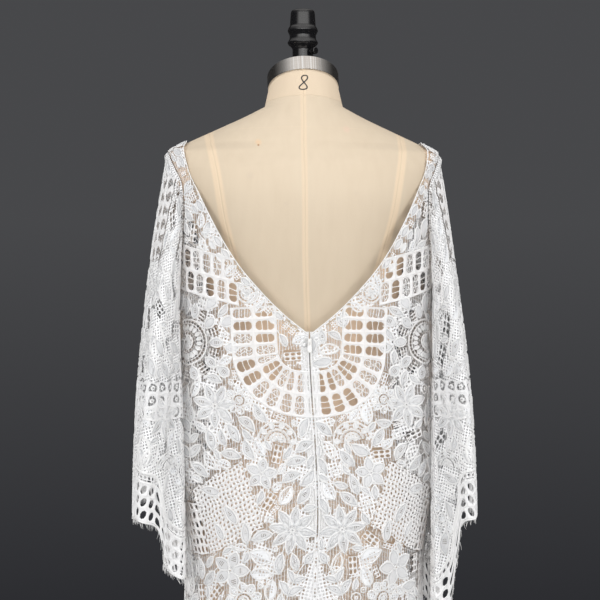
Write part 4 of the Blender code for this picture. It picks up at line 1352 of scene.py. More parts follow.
pierced_finish, u, v, rib, colour = knitted("pierced_fill")
pierced_finish.set("Base Color", colour)
holes = (u + 0.0009).wave(0.0034).ramp(0.05, 0.35) * abs(v - 0.0018).ramp(0.0011, 0.0008) \
    * abs(u).ramp(0.0060, 0.0054)
# the other half of the leaf is left as open net
hairs = (u + v * 0.3).wave(0.0021).ramp(0.55, 0.85)
half = v.ramp(-0.0004, -0.0008) * (1 - hairs * 0.8)
pierced_finish.set("Alpha", 1 - holes.math("MAXIMUM", half))
pierced_finish.bump(rib * 0.6, 0.0005, 0.8)

print("fill finishes:", len(fill_finish.tree.nodes), "and", len(pierced_finish.tree.nodes), "nodes")

# %% Wall finish
wall_finish = Finish("knitted_wall", (0.86, 0.86, 0.868), 0.8)
u, v = wall_finish.cloth()
wall_finish.bump(wall_finish.noise(260.0) * 0.8 + wall_finish.noise(800.0), 0.0004, 0.7)
for finish in (cord_finish, fill_finish, wall_finish):
    let_through(finish, 0.22, (0.95, 0.93, 0.90))
LACE_FINISHES = (cord_finish, fill_finish, wall_finish, pierced_finish)
print("finishes of a lace piece:", len(LACE_FINISHES))


# %% Net finish
def net_finish(name, dots=0.0104, shaded=False):
    """Shaded: the tight ground's small holes are painted dark grey and opaque, painted shade for the unlit
    inside of a sleeve.
    """
    net = Finish(name, (0.78, 0.78, 0.788), 0.85)
    u, v = net.cloth()
    stray = net.noise(70.0, 1.0) * 0.0050
    hair = (u + stray).wave(0.0040).ramp(0.78, 0.92)
    tie = (v + stray * 0.7 + u * 0.35).wave(0.0068).ramp(0.93, 0.99) * 0.7
    threads = hair.math("MAXIMUM", tie)
    dots = (u + v * 0.25).wave(dots) * (v - u * 0.25).wave(dots)
    ground = abs(dots).ramp(0.60, 0.52)
    dense, opened = net.painted("dense"), net.painted("open")
    if shaded:
        # painted shade: on the sleeves the tight ground's holes are painted dark grey and stay opaque
        net.set("Base Color", net.blend(ground, (0.30, 0.30, 0.305), (0.86, 0.86, 0.866)))
        ground = dense.ramp(0.42, 0.52)
    else:
        ground = ground * dense.ramp(0.42, 0.52)
    film = net.noise(38.0, 1.0) * 0.20    # the finest mesh, too small to see thread by thread
    cover = threads.math("MAXIMUM", ground).math("MAXIMUM", film) * opened.ramp(0.60, 0.40)
    net.set("Alpha", cover)
    net.bump(ground + threads * 0.5, 0.0004, 0.5)
    return net


net = net_finish("net_ground")
sleeve_net = net_finish("sleeve_net_painted_shade", 0.0086, shaded=True)
print("net finish:", len(net.tree.nodes), "nodes")

# %% [markdown]
# ## The lace of the back
# Each back starts from its deep V, edged by a cord and an uneven strip of leaves. A ladder of lobed
# slots runs across from the armhole, turns down in two columns and fans out at the centre. Fans,
# flowers and rosettes fill the waist, a trellis of small holes radiates over each hip with leaves
# lying on it, and the skirt carries bands of large flowers and fans down to a scalloped border. The
# two backs mirror each other at the seam, as a designer would match them, with leaves, pierced
# petals and groups of holes laid freely between.

# %% Neckline and ladders
TIER, SLOT_PITCH, SLOT_WALL = 0.0310, 0.0168, 0.0050    # the ladder's slots


def neck_lane(panel):
    """The panel's neckline from its lowest point to the shoulder, and the ways into the cloth."""
    low = FRONT_NECK_Z if panel.front else V_POINT_Z
    rows = np.flatnonzero(panel.z >= low - 1e-9)
    line = np.stack([panel.start[rows], panel.up[rows]], axis=1)
    line = spaced(line, 0.006)
    out = right_of(line)
    if not panel.front:
        first = math.atan2(out[0, 1], out[0, 0])
        turn = np.linspace(-math.pi / 2, first, 8)[:-1]
        out = np.concatenate([np.stack([np.cos(turn), np.sin(turn)], axis=1), out])
        line = np.concatenate([np.repeat(line[:1], 7, axis=0), line])
    return beside(line, out)


def lane_leaf(lace, lane, t0, d0, t1, d1, share, **more):
    """A leaf between two points of a lane, with half its width as a share of its length."""
    base, tip = lane(np.array([t0, t1]), np.array([d0, d1]))
    lace.leaf(base, tip, np.linalg.norm(tip - base) * share, **more)


def neck_edging(lace, lane, length):
    """A corded edge, then uneven leaves, pierced petals and groups of small holes."""
    lace.cord(rail(lane, 0, length - 0.004, 0.0006, 160), 0.0019, 0.0010)
    lace.stamp(lane(*np.meshgrid(np.arange(0, length, 0.001), np.array([0.0, 0.0015, 0.003]), indexing="ij")))
    t = 0.006
    while t < length - 0.004:
        kind = rng.random()
        if kind < 0.42:
            long, lean = rng.uniform(0.016, 0.023), rng.uniform(-0.014, 0.014)
            lane_leaf(lace, lane, t, 0.0040, t + lean, 0.004 + long, 0.27, belly=1.1,
                      kind=PIERCED if kind < 0.16 else FILL, cord=0.0027)
            t += 0.0135 + abs(lean) * 0.4
        elif kind < 0.62:
            lane_leaf(lace, lane, t, 0.0065, t + 0.019, 0.0085, 0.25, belly=0.9, cord=0.0026)
            lane_leaf(lace, lane, t + 0.002, 0.0165, t + 0.017, 0.0175, 0.24, belly=1.0, cord=0.0024)
            t += 0.022
        else:
            columns = 2 if kind < 0.85 else 3
            at = t - 0.002 + np.arange(columns + 1) * 0.0042
            lace.cells(lane, at, np.array([0.0048, 0.0085, 0.0122, 0.0159]), 0.0017, 2.2)
            t += 0.0042 * columns + 0.004


def ladder(lace, lane, along, tiers, offset=0.0):
    """Tiers of lobed slots with two fine threads across each, and a cord on their outer sides."""
    for k in range(tiers):
        lace.cells(lane, along + offset * k, np.array([k, k + 1]) * TIER, SLOT_WALL, bars=2, height=0.0016)
    for k in (0, tiers):
        lace.cord(rail(lane, along[0], along[-1], k * TIER, 60), 0.0026)


def slot_ring(lace, centre, radius, turn=0.0):
    """A square ring of small holes round a little flower, for the corner of a ladder."""
    lace.cells(fan_lane(centre), turn + np.linspace(0, math.tau, 17), np.array([0.62, 0.90]) * radius,
               0.0016, 2.2)
    for k in range(4):
        way = turn + math.tau * k / 4
        ray_leaf(lace, centre, way, radius * 0.08, radius * 0.54, radius * 0.18, cord=0.0020)
    for way in (0.62, 0.98):
        lace.cord(circle(centre, radius * way, 18), 0.0020, closed=True)


# %% Borders and bands
def scallop_border(lace, width, low, high):
    """The hem's border: arched cords over leaves, and rows of oval holes below them."""
    pitch = width / max(round(width / SCALLOP), 1)
    wave = np.linspace(0, width, int(width / 0.003))
    for rise, thick in ((high, 0.0030), (high - 0.010, 0.0020)):
        arch = rise - 0.010 * np.abs(np.cos(math.pi * wave / pitch))
        lace.cord(np.stack([wave, low + arch], axis=1), thick, step=0.005)
    lace.cells(straight((0, low + 0.004), (1, 0), (0, 1)), np.arange(0, width, 0.0088),
               np.array([0, 0.0095, 0.019, 0.0285]), 0.0036)
    for k in range(int(width / pitch) + 1):
        x = (k + 0.5) * pitch
        for lean, size in ((0, 0.026), (0.75, 0.023), (-0.75, 0.023)):
            lace.leaf((x, low + 0.036), toward((x, low + 0.036), math.pi / 2 + lean, size), size * 0.25)


BAND_PITCH, BAND_HEIGHT = 0.118, 0.098    # across between the motifs of a band, and from band to band


def skirt_bands(lace, width, low, high, phase=0.0):
    """Bands of flowers, sunbursts and rosettes for the plain width of a skirt."""
    level, k = high, 0
    while level > low:
        start = (0.5 if k % 2 else 0.05) * BAND_PITCH + phase
        count = int((width - start) / BAND_PITCH) + 1
        for n in range(count):
            x = start + n * BAND_PITCH
            if k % 3 == 0:
                flower(lace, (x, level), 0.040, petals=8, turn=0.2 * n)
                for side in (-1, 1):
                    base = (x + side * 0.040, level - 0.020)
                    spray(lace, base, math.pi / 2 - side * 0.5, 0.060, bend=0.2 * side)
            elif k % 3 == 1:
                sunburst(lace, (x, level - 0.03), 0.062, 0, math.pi, rings=4)
                tulip(lace, (x, level - 0.040), -math.pi / 2, 0.034)
            else:
                rosette(lace, (x, level), 0.036, turn=0.3 * n)
                tulip(lace, (x + BAND_PITCH / 2, level - 0.03), math.pi / 2, 0.052)
        level -= BAND_HEIGHT
        k += 1


# %% Trellis and fans of the back
def trellis(lace, corner, right, up, columns, rows, pitch, beads=0.6):
    """A slanting lattice of small holes, with white beads knitted where its walls cross."""
    lane = uneven(straight(corner, right, up), 0.0010)
    t, d = np.arange(columns + 1) * pitch, np.arange(rows + 1) * pitch
    lace.cells(lane, t, d, pitch * 0.50)
    lace.base = 0.0004
    spots = lane(*np.meshgrid(t, d, indexing="ij"))
    for i, j in np.ndindex(spots.shape[:2]):
        if (i + j) % 2 and rng.random() < beads:
            lace.knot(spots[i, j], pitch * rng.uniform(0.30, 0.50))
    lace.base = 0.0
    for k in range(3, rows, 4):
        lace.cord(rail(lane, t[0], t[-1], d[k], 2), 0.0020, step=0.008)


def dotted_fan(lace, centre, radius, start, end):
    """Arcs of small holes between cords, round a few slim leaves."""
    lane = fan_lane(centre)
    for low, high in ((0.32, 0.47), (0.81, 0.98)):
        count = int((end - start) * radius * (low + high) / 2 / 0.0048)
        lace.cells(lane, np.linspace(start, end, count), np.array([low, high]) * radius, 0.0016, 2.4)
    for way in np.linspace(start, end, int((end - start) * radius * 0.64 / 0.0062)):
        ray_leaf(lace, centre, way, 0.50 * radius, 0.79 * radius, 0.0021, cord=0.0015)
    for share in (0.31, 1.0):
        lace.cord(rail(lane, start, end, share * radius, 40), 0.0020)
    for k in range(5):
        way = start + (end - start) * (k + 0.5) / 5
        ray_leaf(lace, centre, way, 0.04 * radius, 0.29 * radius, radius * 0.07, cord=0.0018)


def over_leaves(lace, leaves):
    """Leaves that lie over a trellis: (across, up, turn, half length)."""
    lace.base = 0.0010
    for across, up, turn, half in leaves:
        centre, turn = (across, up), math.radians(turn)
        ray_leaf(lace, centre, turn, -half, half, half * 0.42, blunt=0.65, cord=0.0028)
    lace.base = 0.0


# %% Lace of the backs
def allowance_half(up):
    """Half the width of the wedge of seam allowances that shows below the zip."""
    return np.interp(up, (0.745, 0.812), (0.0175, 0.0010))


def back_lace(panel):
    """Everything that is laid on one back."""
    lace = Lace(panel, panel.width + 0.004, panel.up[-1] + 0.004)
    wedge = np.meshgrid(np.arange(0, 0.019, 0.001), np.arange(0.72, 0.812, 0.001))
    wedge = np.stack(wedge, axis=-1).reshape(-1, 2)
    lace.stamp(wedge[wedge[:, 0] < allowance_half(wedge[:, 1]) + 0.001])
    # the ladder: across below the armhole, down in two columns, and fanned at the centre
    lean = math.radians(14)
    ladder(lace, straight((0.098, 1.150), (math.cos(lean), math.sin(lean)), (0.03, 1)),
           np.arange(0.0, 0.150, SLOT_PITCH), 2, offset=0.006)
    line = spaced([(-0.012, 1.057), (0.010, 1.0572), (0.026, 1.0600), (0.038, 1.0680), (0.0445, 1.081),
                   (0.0460, 1.100), (0.0465, 1.125), (0.0480, 1.150)], 0.003)
    lane, length = beside(line, right_of(line))
    ladder(lace, lane, np.linspace(0.002, length, int(round(length / 0.0182)) + 1), 2)
    slot_ring(lace, (0.087, 1.166), 0.0135, turn=0.4)
    lane, length = neck_lane(panel)
    neck_edging(lace, lane, length)
    # beside the zip
    lace.cord([(0.0022, 0.60), (0.0022, 1.10)], 0.0020, 0.0012)
    # fans and flowers of the waist
    dotted_fan(lace, (0.176, 1.098), 0.032, math.radians(70), math.radians(300))
    for k in range(5):
        way, centre = math.radians(104 + 38 * k), (0.174, 1.098)
        ray_leaf(lace, centre, way, 0.0345, 0.0540, 0.0066, belly=1.1, blunt=0.6, cord=0.0028)
        lace.cells(fan_lane(centre), way + np.array([0.20, 0.315, 0.43]), 0.0360 + 0.0050 * np.arange(4),
                   0.0016)
    for way in (124, 154, 186, 217):
        way = math.radians(way)
        ray_leaf(lace, centre, way, 0.0565, 0.0760, 0.0072, belly=1.2, blunt=0.55, cord=0.0029)
    flower(lace, (0.136, 1.010), 0.031, petals=7, turn=0.3)
    rosette(lace, (0.101, 1.018), 0.0195, petals=8, turn=0.7)
    sunburst(lace, (0.052, 0.962), 0.030, math.radians(10), math.radians(190), rings=1, spokes=False)
    flower(lace, (0.076, 0.918), 0.022, petals=5, turn=0.5, core=False)
    spray(lace, (0.178, 0.925), math.radians(84), 0.062, pairs=2, bend=0.15)
    # hip trellis, radiating from a low corner
    trellis(lace, (0.150, 0.806), (-0.88, 0.47), (0.30, 0.95), 14, 15, 0.0061, beads=0.8)
    lace.cells(uneven(straight((0.1845, 0.8030), (-0.98, 0.08), (0.27, 0.96)), 0.0008), np.arange(5) * 0.0084,
               np.arange(7) * 0.0122, 0.0040, power=2.6)
    over_leaves(lace, ((0.150, 0.893, 8, 0.0145), (0.120, 0.862, 52, 0.0145), (0.098, 0.838, 85, 0.0140),
                       (0.136, 0.838, 60, 0.0120)))
    flower(lace, (0.034, 0.842), 0.033, petals=8, turn=0.15)
    lace.leaf((0.062, 0.800), (0.092, 0.812), 0.0105, blunt=0.9, cord=0.0026, kind=PIERCED)
    flower(lace, (0.118, 0.786), 0.027, petals=5, turn=0.6, core=False)
    rosette(lace, (0.098, 0.745), 0.026, petals=9)
    spray(lace, (0.040, 0.742), math.radians(100), 0.058, pairs=2)
    skirt_bands(lace, panel.width, 0.140, 0.655)
    scallop_border(lace, panel.width, HEM_Z, 0.075)
    laid = fill_gaps(lace, (0.0145, 0.012, 0.0095), highest=0.70)
    laid += fill_gaps(lace, (0.0150, 0.0125, 0.0102, 0.0082), lowest=0.70)
    print("motifs laid into the gaps:", laid)
    return lace


back_laces = {side: back_lace(panels[side, False]) for side in (1, -1)}

# %% [markdown]
# ## The lace of the front
# The front has the same strip and ladder along its wide neckline. Below them come large flowers and
# fans, a trellis over each hip and bands of motifs, on both halves alike.

# %% Lace of the front
def front_lace(panel):
    """Everything that is laid on one half of the front."""
    lace = Lace(panel, panel.width + 0.004, panel.up[-1] + 0.004)
    lane, length = neck_lane(panel)
    ladder(lace, lambda t, d: lane(t, d + 0.030), np.linspace(0.0, length, int(length / SLOT_PITCH) + 1), 2)
    neck_edging(lace, lane, length)
    flower(lace, (0.052, 1.118), 0.034, petals=8, turn=0.3)
    sunburst(lace, (0.150, 1.130), 0.044, math.radians(20), math.radians(230))
    rosette(lace, (0.110, 1.045), 0.028)
    flower(lace, (0.175, 1.010), 0.030, petals=6)
    sunburst(lace, (0.0, 1.020), 0.036, math.radians(-90), math.radians(90))
    trellis(lace, (0.166, 0.822), (-0.88, 0.47), (0.30, 0.95), 14, 12, 0.0072)
    over_leaves(lace, ((0.140, 0.880, 20, 0.0150), (0.108, 0.850, 70, 0.0145)))
    flower(lace, (0.045, 0.900), 0.030, petals=8, turn=0.25)
    flower(lace, (0.118, 0.780), 0.027, petals=5, turn=0.5, core=False)
    tulip(lace, (0.060, 0.765), math.radians(100), 0.050)
    skirt_bands(lace, panel.width, 0.140, 0.690, phase=0.02)
    scallop_border(lace, panel.width, HEM_Z, 0.075)
    laid = fill_gaps(lace, (0.0145, 0.012, 0.0095), highest=0.72)
    laid += fill_gaps(lace, (0.0145, 0.0120, 0.0095, 0.0070), lowest=0.72)
    print("motifs laid into the gaps:", laid)
    return lace


front_laces = {side: front_lace(panels[side, True]) for side in (1, -1)}

# %% [markdown]
# ## The lace of the sleeves
# A grid of large holes stands behind the top of each sleeve, and a finer one with a bead in each
# hole lower down. Broad open leaves, flowers, rosettes and small fans fill its length, and a corded
# row of small holes stands over three rows of slanting oval holes at the scalloped hem.

# %% Lace of the sleeves
def broad_leaf(lace, base, tip, half_width, bend=0.0):
    """An open leaf with a thick cord round it, and a smaller leaf and a row of knots inside."""
    base, tip = np.asarray(base, float), np.asarray(tip, float)
    lace.leaf(base, tip, half_width, belly=0.9, blunt=0.62, bend=bend, cord=0.0042, kind=OPEN_LEAF)
    axis = tip - base
    left = np.array([-axis[1], axis[0]])
    lace.leaf(base + axis * 0.14 + left * bend * 0.4, base + axis * 0.60 + left * bend,
              half_width * 0.42, cord=0.0027)
    for share in (0.68, 0.77, 0.86):
        lace.knot(base + axis * share + left * bend * math.sin(math.pi * share), 0.0017)


def sleeve_lace(sleeve):
    """Everything that is laid on one sleeve."""
    lace = Lace(sleeve, sleeve.round, ARMHOLE_TOP_Z + 0.01)

    def over_hem(t, d):
        low = sleeve.hem_height(t)
        return np.stack([np.asarray(t) + 0.0 * np.asarray(d), low + np.asarray(d)], axis=-1)

    level = straight((0, 0), (1, 0), (0, 1))
    # a grid of square holes behind the shoulder, and a lower one with a bead in each hole
    slots = np.array([0.040, 0.070, 0.106])
    lace.cells(uneven(level, 0.0022), slots, np.arange(1.215, 1.345, 0.0195), 0.0082, power=2.6, corners=16,
               height=0.0018, opened=0.3)
    columns = np.arange(0.004, sleeve.round * 0.46, 0.0180)
    rows = np.array([0.993, 1.0105, 1.028, 1.0455])
    lace.cells(uneven(level, 0.0012), columns, rows, 0.0056, power=2.4, corners=16, height=0.0016, opened=0.3)
    for t in columns[:-1] + 0.0090:
        for d in rows[:-1] + 0.00875:
            lace.knot((t, d), 0.0034)
    # at the hem: three rows of slanting ovals, one row of small holes, and cords between
    ovals = np.linspace(0, sleeve.round, int(sleeve.round / 0.0116) + 1)
    lace.cells(over_hem, ovals, np.array([0.003, 0.0200, 0.0370, 0.0540]), 0.0042, height=0.0018, shift=0.36)
    small = np.linspace(0, sleeve.round, int(sleeve.round / 0.0058) + 1)
    lace.cells(over_hem, small, np.array([0.0590, 0.0655]), 0.0022)
    for rise, thick in ((0.0012, 0.0034), (0.0550, 0.0040), (0.0680, 0.0040)):
        lace.cord(rail(over_hem, 0, sleeve.round, rise, 400), thick, 0.0018, step=0.005)
    count = int(round(sleeve.round / 0.092))
    for k in range(count):
        x = (k + 0.5) * sleeve.round / count
        low = float(over_hem(np.array([x]), np.array([0.0]))[0, 1])
        # an arch of three broad leaves stands on the border
        for lean, size in ((0.62, 0.040), (-0.62, 0.040), (0.0, 0.046)):
            base = toward((x - 0.006, low + 0.070), math.pi / 2 + lean, 0.003)
            broad_leaf(lace, base, toward(base, math.pi / 2 + lean, size), size * 0.25)
        sunburst(lace, (x + 0.040, low + 0.071), 0.024, 0, math.pi, rings=1, spokes=False)
        flower(lace, (x + 0.030, low + 0.142), 0.031, petals=7, turn=0.3 * k)
        rosette(lace, (x - 0.018, low + 0.146), 0.025, petals=7, turn=0.2 * k)
        if low + 0.30 < 1.03:
            for lean, size in ((0.50, 0.060), (-0.42, 0.056)):
                base = toward((x + 0.004, low + 0.176), math.pi / 2 + lean, 0.004)
                broad_leaf(lace, base, toward(base, math.pi / 2 + lean, size), size * 0.22,
                           bend=0.08 * math.copysign(1, lean))
        for up, size in ((1.075, 0.058), (1.152, 0.054)):
            lean = 0.48 * (-1) ** k
            base = np.array([x - 0.020 * math.copysign(1, lean), up])
            broad_leaf(lace, base, toward(base, math.pi / 2 - lean, size), size * 0.24, bend=0.10)
            flower(lace, (x + 0.024 * math.copysign(1, lean), up + 0.022), 0.024, petals=6, turn=0.4 * k + up)
    laid = fill_gaps(lace, (0.0170, 0.0135, 0.0108, 0.0084), lowest=0.60)
    print("motifs laid into the gaps:", laid)
    return lace


sleeve_laces = {side: sleeve_lace(sleeves[side]) for side in (1, -1)}

# %% [markdown]
# ## Hang the gown
# Each panel's net is one thin shell, cut as the panel is, with the motifs as a second piece that
# is sewn to it. The front's motifs are two pieces, one for each half.

# %% Backs, hung
LABEL = {1: "left", -1: "right"}


def flat_area(panel):
    return float(((panel.end - panel.start)[1:] * np.diff(panel.up)).sum())


for side in (1, -1):
    panel = panels[side, False]
    ground = panel_net("back_%s_net" % LABEL[side], panel, back_laces[side], net)
    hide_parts("back_" + LABEL[side])
    motifs = hang(back_laces[side], panel, "back_%s_lace" % LABEL[side], LACE_FINISHES)
    flat_area(panel)
    print("back", LABEL[side], "%.3f square metres" % flat_area(panel))

# %% Front, hung
halves, motifs = [], []
for side in (1, -1):
    halves.append(panel_net("front_net_half", panels[side, True], front_laces[side], net))
    motifs.append(hang(front_laces[side], panels[side, True], "front_lace_" + LABEL[side], LACE_FINISHES))
bpy.ops.object.select_all(action="DESELECT")
for half in halves:
    half.select_set(True)
front = halves[0]
bpy.context.view_layer.objects.active = front
bpy.ops.object.join()
front.name = front.data.name = "front_net"
with edited(front) as bm:
    middle = [v for v in bm.verts if abs(v.co.x) < 1e-6]
    bmesh.ops.remove_doubles(bm, verts=middle, dist=1e-5)
bpy.ops.object.select_all(action="DESELECT")
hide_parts("front")
panel = panels[1, True]
flat_area(panels[1, True]) + flat_area(panels[-1, True])
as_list(motifs)
print("front net:", len(front.data.vertices), "points")

# %% [markdown]
# ## The sleeves and their fringe
# The sleeves' nets are tubes. The lace ends in an eyelash fringe, single threads a few millimetres
# apart that were left uncut at the edge, none quite straight.

# %% Fringe
FRINGE_PITCH, EYELASH = 0.0024, (0.0055, 0.0105)    # between threads, and how short and long they are


def fringe(sleeve, name):
    """One thin three-sided thread every few millimetres along the hem."""
    count = int(sleeve.round / FRINGE_PITCH)
    at = (np.arange(count) + rng.uniform(-0.3, 0.3, count)) * sleeve.round / count
    low = sleeve.hem_height(at)
    root = sleeve.place(at, low, np.zeros(count))
    beyond = sleeve.place(at + 0.004, low, np.zeros(count))
    side = (beyond - root) / np.linalg.norm(beyond - root, axis=1, keepdims=True)
    out = sleeve.place(at, low, np.full(count, 1.0)) - root
    long = rng.uniform(*EYELASH, count)
    lean, bend = rng.normal(0.12, 0.30, count), rng.normal(0, 0.25, count)
    steps = np.linspace(0, 1, 4)
    way = np.array([0, 0, -1.0])
    spine = root[:, None] + (long[:, None] * steps)[..., None] * (way + lean[:, None] * side)[:, None] \
        + (long[:, None] * bend[:, None] * steps ** 2)[..., None] * side[:, None] + np.array([0, 0, 0.0015])
    thick = 0.00034 * (1 - 0.55 * steps)
    rings = []
    for k in range(3):
        turn = math.tau * k / 3
        rings.append(spine + thick[None, :, None] * (math.cos(turn) * side + math.sin(turn) * out)[:, None])
    points = np.stack(rings, axis=2)
    faces = repeated(faces_grid(4, 3, closed=True), count, 12)
    piece = make_piece(name, points.reshape(-1, 3), faces, np.zeros((count * 12, 2)))
    wear(piece, cord_finish)
    print(name, count, "threads")
    return piece


# %% Sleeves, hung
for side in (1, -1):
    sleeve = sleeves[side]
    fall = np.linspace(0, 1, SLEEVE_ROWS + 1)[:, None]
    up = sleeve.top[None, :, 2] * (1 - fall) + sleeve.hem[None, :, 2] * fall
    across = np.repeat(sleeve.across[None, :-1], SLEEVE_ROWS + 1, axis=0)
    count = sleeve.columns
    faces = faces_grid(SLEEVE_ROWS + 1, count, closed=True)
    ground = make_piece("sleeve_%s_net" % LABEL[side], sleeve.points.reshape(-1, 3), faces,
                        np.stack([across, up], axis=-1).reshape(-1, 2))
    layer = ground.data.uv_layers[0].data
    flat = np.zeros(len(layer) * 2)
    layer.foreach_get("uv", flat)
    flat = flat.reshape(-1, 4, 2)
    wraps = np.ptp(flat[:, :, 0], axis=1) > sleeve.round / 2
    flat[wraps, :, 0] += np.where(flat[wraps, :, 0] < sleeve.round / 2, sleeve.round, 0)
    layer.foreach_set("uv", flat.ravel())
    lace = sleeve_laces[side]
    paint_ground(ground, np.stack([across, up], axis=-1).reshape(-1, 2), lace, 2.4)
    wear(ground, sleeve_net)
    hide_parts("sleeve_" + LABEL[side])
    motifs = hang(lace, sleeve, "sleeve_%s_lace" % LABEL[side], LACE_FINISHES)
    lashes = fringe(sleeve, "sleeve_%s_fringe" % LABEL[side])
    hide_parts("sleeve_fringe_" + LABEL[side])
    steps = np.linalg.norm(np.roll(sleeve.points, -1, axis=1) - sleeve.points, axis=2).sum(axis=1)
    falls = np.linalg.norm(np.diff(sleeve.points, axis=0), axis=2).sum(axis=0)
    loop = np.concatenate([sleeve.points, sleeve.points[:, :1]], axis=1)
    quads = np.cross(loop[1:, 1:] - loop[:-1, :-1], loop[1:, :-1] - loop[:-1, 1:])
    area = float(np.linalg.norm(quads, axis=2).sum() / 2)
    print("sleeve", LABEL[side], "%.3f square metres" % area)

# %% [markdown]
# ## The linen form
# The body is covered in tightly drawn unbleached linen, cut in panels: the seams run down the
# centre, down the front and back of each side, and round the root of the neck. Each seam is a
# shallow groove, and the seam allowance behind it shows as a slightly warmer band.

# %% Body of the form
NECK_TILT = math.radians(27)
RING_TOP, RING_RADIUS, RING_HEIGHT = np.array([0, -0.018, 1.4835]), 0.052, 0.0225
SEAT_RADIUS = 0.0505                  # of the neck's top, under the ring
AROUND, NECK_STEPS = 192, 14


def tilted(points):
    """Points about the neck ring's own axis, leaned forward with the neck."""
    c, s = math.cos(NECK_TILT), math.sin(NECK_TILT)
    return points @ np.array([[1, 0, 0], [0, c, s], [0, -s, c]]) + RING_TOP


heights = np.concatenate([np.linspace(0.700, 1.20, 60)[:-1], np.linspace(1.20, 1.340, 29)[:-1],
                          np.linspace(1.340, 1.436, 40)])
turn = np.arange(AROUND) * 360 / AROUND
fine = np.linspace(0, 360, 1441)
rings = []
for z in heights:
    x, y, _, _ = squared_ring(read(FORM, np.full(1441, z)), fine)
    length = running(np.hypot(np.diff(x), np.diff(y)))
    quarter = np.interp(np.arange(5) * 90, fine, length)
    at = np.interp(turn, np.arange(5) * 90, quarter)
    rings.append(np.stack([np.interp(at, length, x), np.interp(at, length, y), np.full(AROUND, z)], axis=1))
root = rings[-1]
around = np.arctan2(root[:, 0], root[:, 1])
seat = tilted(np.stack([SEAT_RADIUS * np.sin(around), SEAT_RADIUS * np.cos(around),
                        np.full(AROUND, -RING_HEIGHT - 0.0003)], axis=1))
for k in range(1, NECK_STEPS + 1):
    rings.append(root + (seat - root) * k / NECK_STEPS)
inner = rings[-1].mean(axis=0)
rings = [rings[0] * np.array([r, r, 1]) for r in (0.02, 0.35, 0.7, 0.93)] + rings
rings += [inner + (rings[-1] - inner) * r for r in (0.8, 0.02)]
body = np.stack(rings)

print("body of the form:", body.shape[0], "rings of", body.shape[1], "points")

# %% Seams of the body
# The centre back seam isn't plumb either: how far it is to the wearer's left, at each height.
CENTRE_SEAM = ((0.700, 0.0), (1.060, 0.0), (1.109, 0.0010), (1.170, 0.0040), (1.230, 0.0065), (1.330, 0.0075),
               (1.440, 0.0052), (1.490, 0.0045))
BACK_PRINCESS = ((0.700, 0.078), (0.85, 0.080), (1.00, 0.070), (1.06, 0.068), (1.15, 0.084), (1.25, 0.1125),
                 (1.276, 0.1185), (1.331, 0.1275), (1.386, 0.1365), (1.44, 0.140))
FRONT_PRINCESS = ((0.700, 0.080), (0.85, 0.082), (1.00, 0.074), (1.06, 0.070), (1.15, 0.082), (1.244, 0.092),
                  (1.30, 0.112), (1.386, 0.1365), (1.44, 0.140))
x, y, z = np.moveaxis(body, -1, 0)
behind = y > 0
where = np.where(behind, read(BACK_PRINCESS, z)[..., 0], read(FRONT_PRINCESS, z)[..., 0])
princess = np.where(z < 1.40, np.abs(x) - where, 0.1)
neck_seam = np.where(behind, 1.4475 - (x / 0.059) ** 2 * 0.0065, 1.4400 - 0.002 * (x / 0.059) ** 2)
neck_seam = z - neck_seam
centre = x - np.where(behind, read(CENTRE_SEAM, z)[..., 0], 0)
groove = 0.0004 * np.exp(-(centre / 0.0022) ** 2) * (z < 1.46) + 0.0006 * np.exp(-(princess / 0.0022) ** 2) \
    + 0.0007 * np.exp(-(neck_seam / 0.0015) ** 2)
# how far below the gown's necklines: there the linen is painted warmer and brighter, a painted glow for the
# light that the lace lets through onto it
edge_of_gown = np.where(behind, V_POINT_Z, FRONT_NECK_Z)
for table, half in ((BACK_NECK, behind), (FRONT_NECK, ~behind)):
    rim = np.array(table)
    rises = np.interp(np.abs(x), np.maximum.accumulate(rim[:, 1]), rim[:, 0])
    edge_of_gown = np.where(half, np.where(np.abs(x) > 0.172, 2.0, rises), edge_of_gown)
painted_lace_glow = np.clip((edge_of_gown - z - 0.006) / 0.008, 0, 1)
cover = make_piece("form_cover", body.reshape(-1, 3), faces_grid(len(body), AROUND, closed=True))
paint(cover, "princess", princess)
paint(cover, "neck_seam", neck_seam)
paint(cover, "centre", centre)
paint(cover, "painted_lace_glow", painted_lace_glow)
with edited(cover) as bm:
    bmesh.ops.holes_fill(bm, edges=[e for e in bm.edges if e.is_boundary])
    bmesh.ops.recalc_face_normals(bm, faces=bm.faces)
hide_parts("torso")
print("cover:", len(cover.data.polygons), "faces")

# %% Linen
linen = Finish("linen", (0.76, 0.64, 0.50), 0.82)
x, y, z = linen.parts(linen.place())
princess, neck_line, centre = linen.painted("princess"), linen.painted("neck_seam"), linen.painted("centre")
centre_band = abs(centre).ramp(0.0052, 0.0030)
princess_band = abs(princess - 0.001).ramp(0.0078, 0.0045)
nearest = abs(centre).math("MINIMUM", abs(princess)).math("MINIMUM", abs(neck_line))
line = nearest.ramp(0.0009, 0.0003)
cloudy = linen.noise(7.0, 3.0) + linen.noise(90.0, 2.0, stretch=(1, 1, 0.15)) * 0.5
colour = linen.blend(cloudy.ramp(0.45, 1.05), (0.607, 0.501, 0.375), (0.660, 0.554, 0.423))
# painted shade: the linen is painted darker from the shoulders down past the bust, for light falling off from
# above
colour = linen.blend(z.ramp(1.37, 1.20) * 0.20, colour, (0.36, 0.30, 0.225))
colour = linen.blend(princess_band * 0.60, colour, (0.775, 0.610, 0.430))
colour = linen.blend(centre_band * 0.50, colour, (0.745, 0.590, 0.420))
colour = linen.blend(neck_line.ramp(-0.001, 0.001) * 0.35, colour, (0.74, 0.585, 0.425))
# painted shade: a fine line along each seam is painted darker, for the shade in its groove
colour = linen.blend(line * 0.22, colour, (0.52, 0.40, 0.28))
back_only = y.ramp(0.0, 0.01)
Stain = namedtuple("Stain", "x z reach strength colour")
GREY_BROWN = (0.52, 0.43, 0.35)
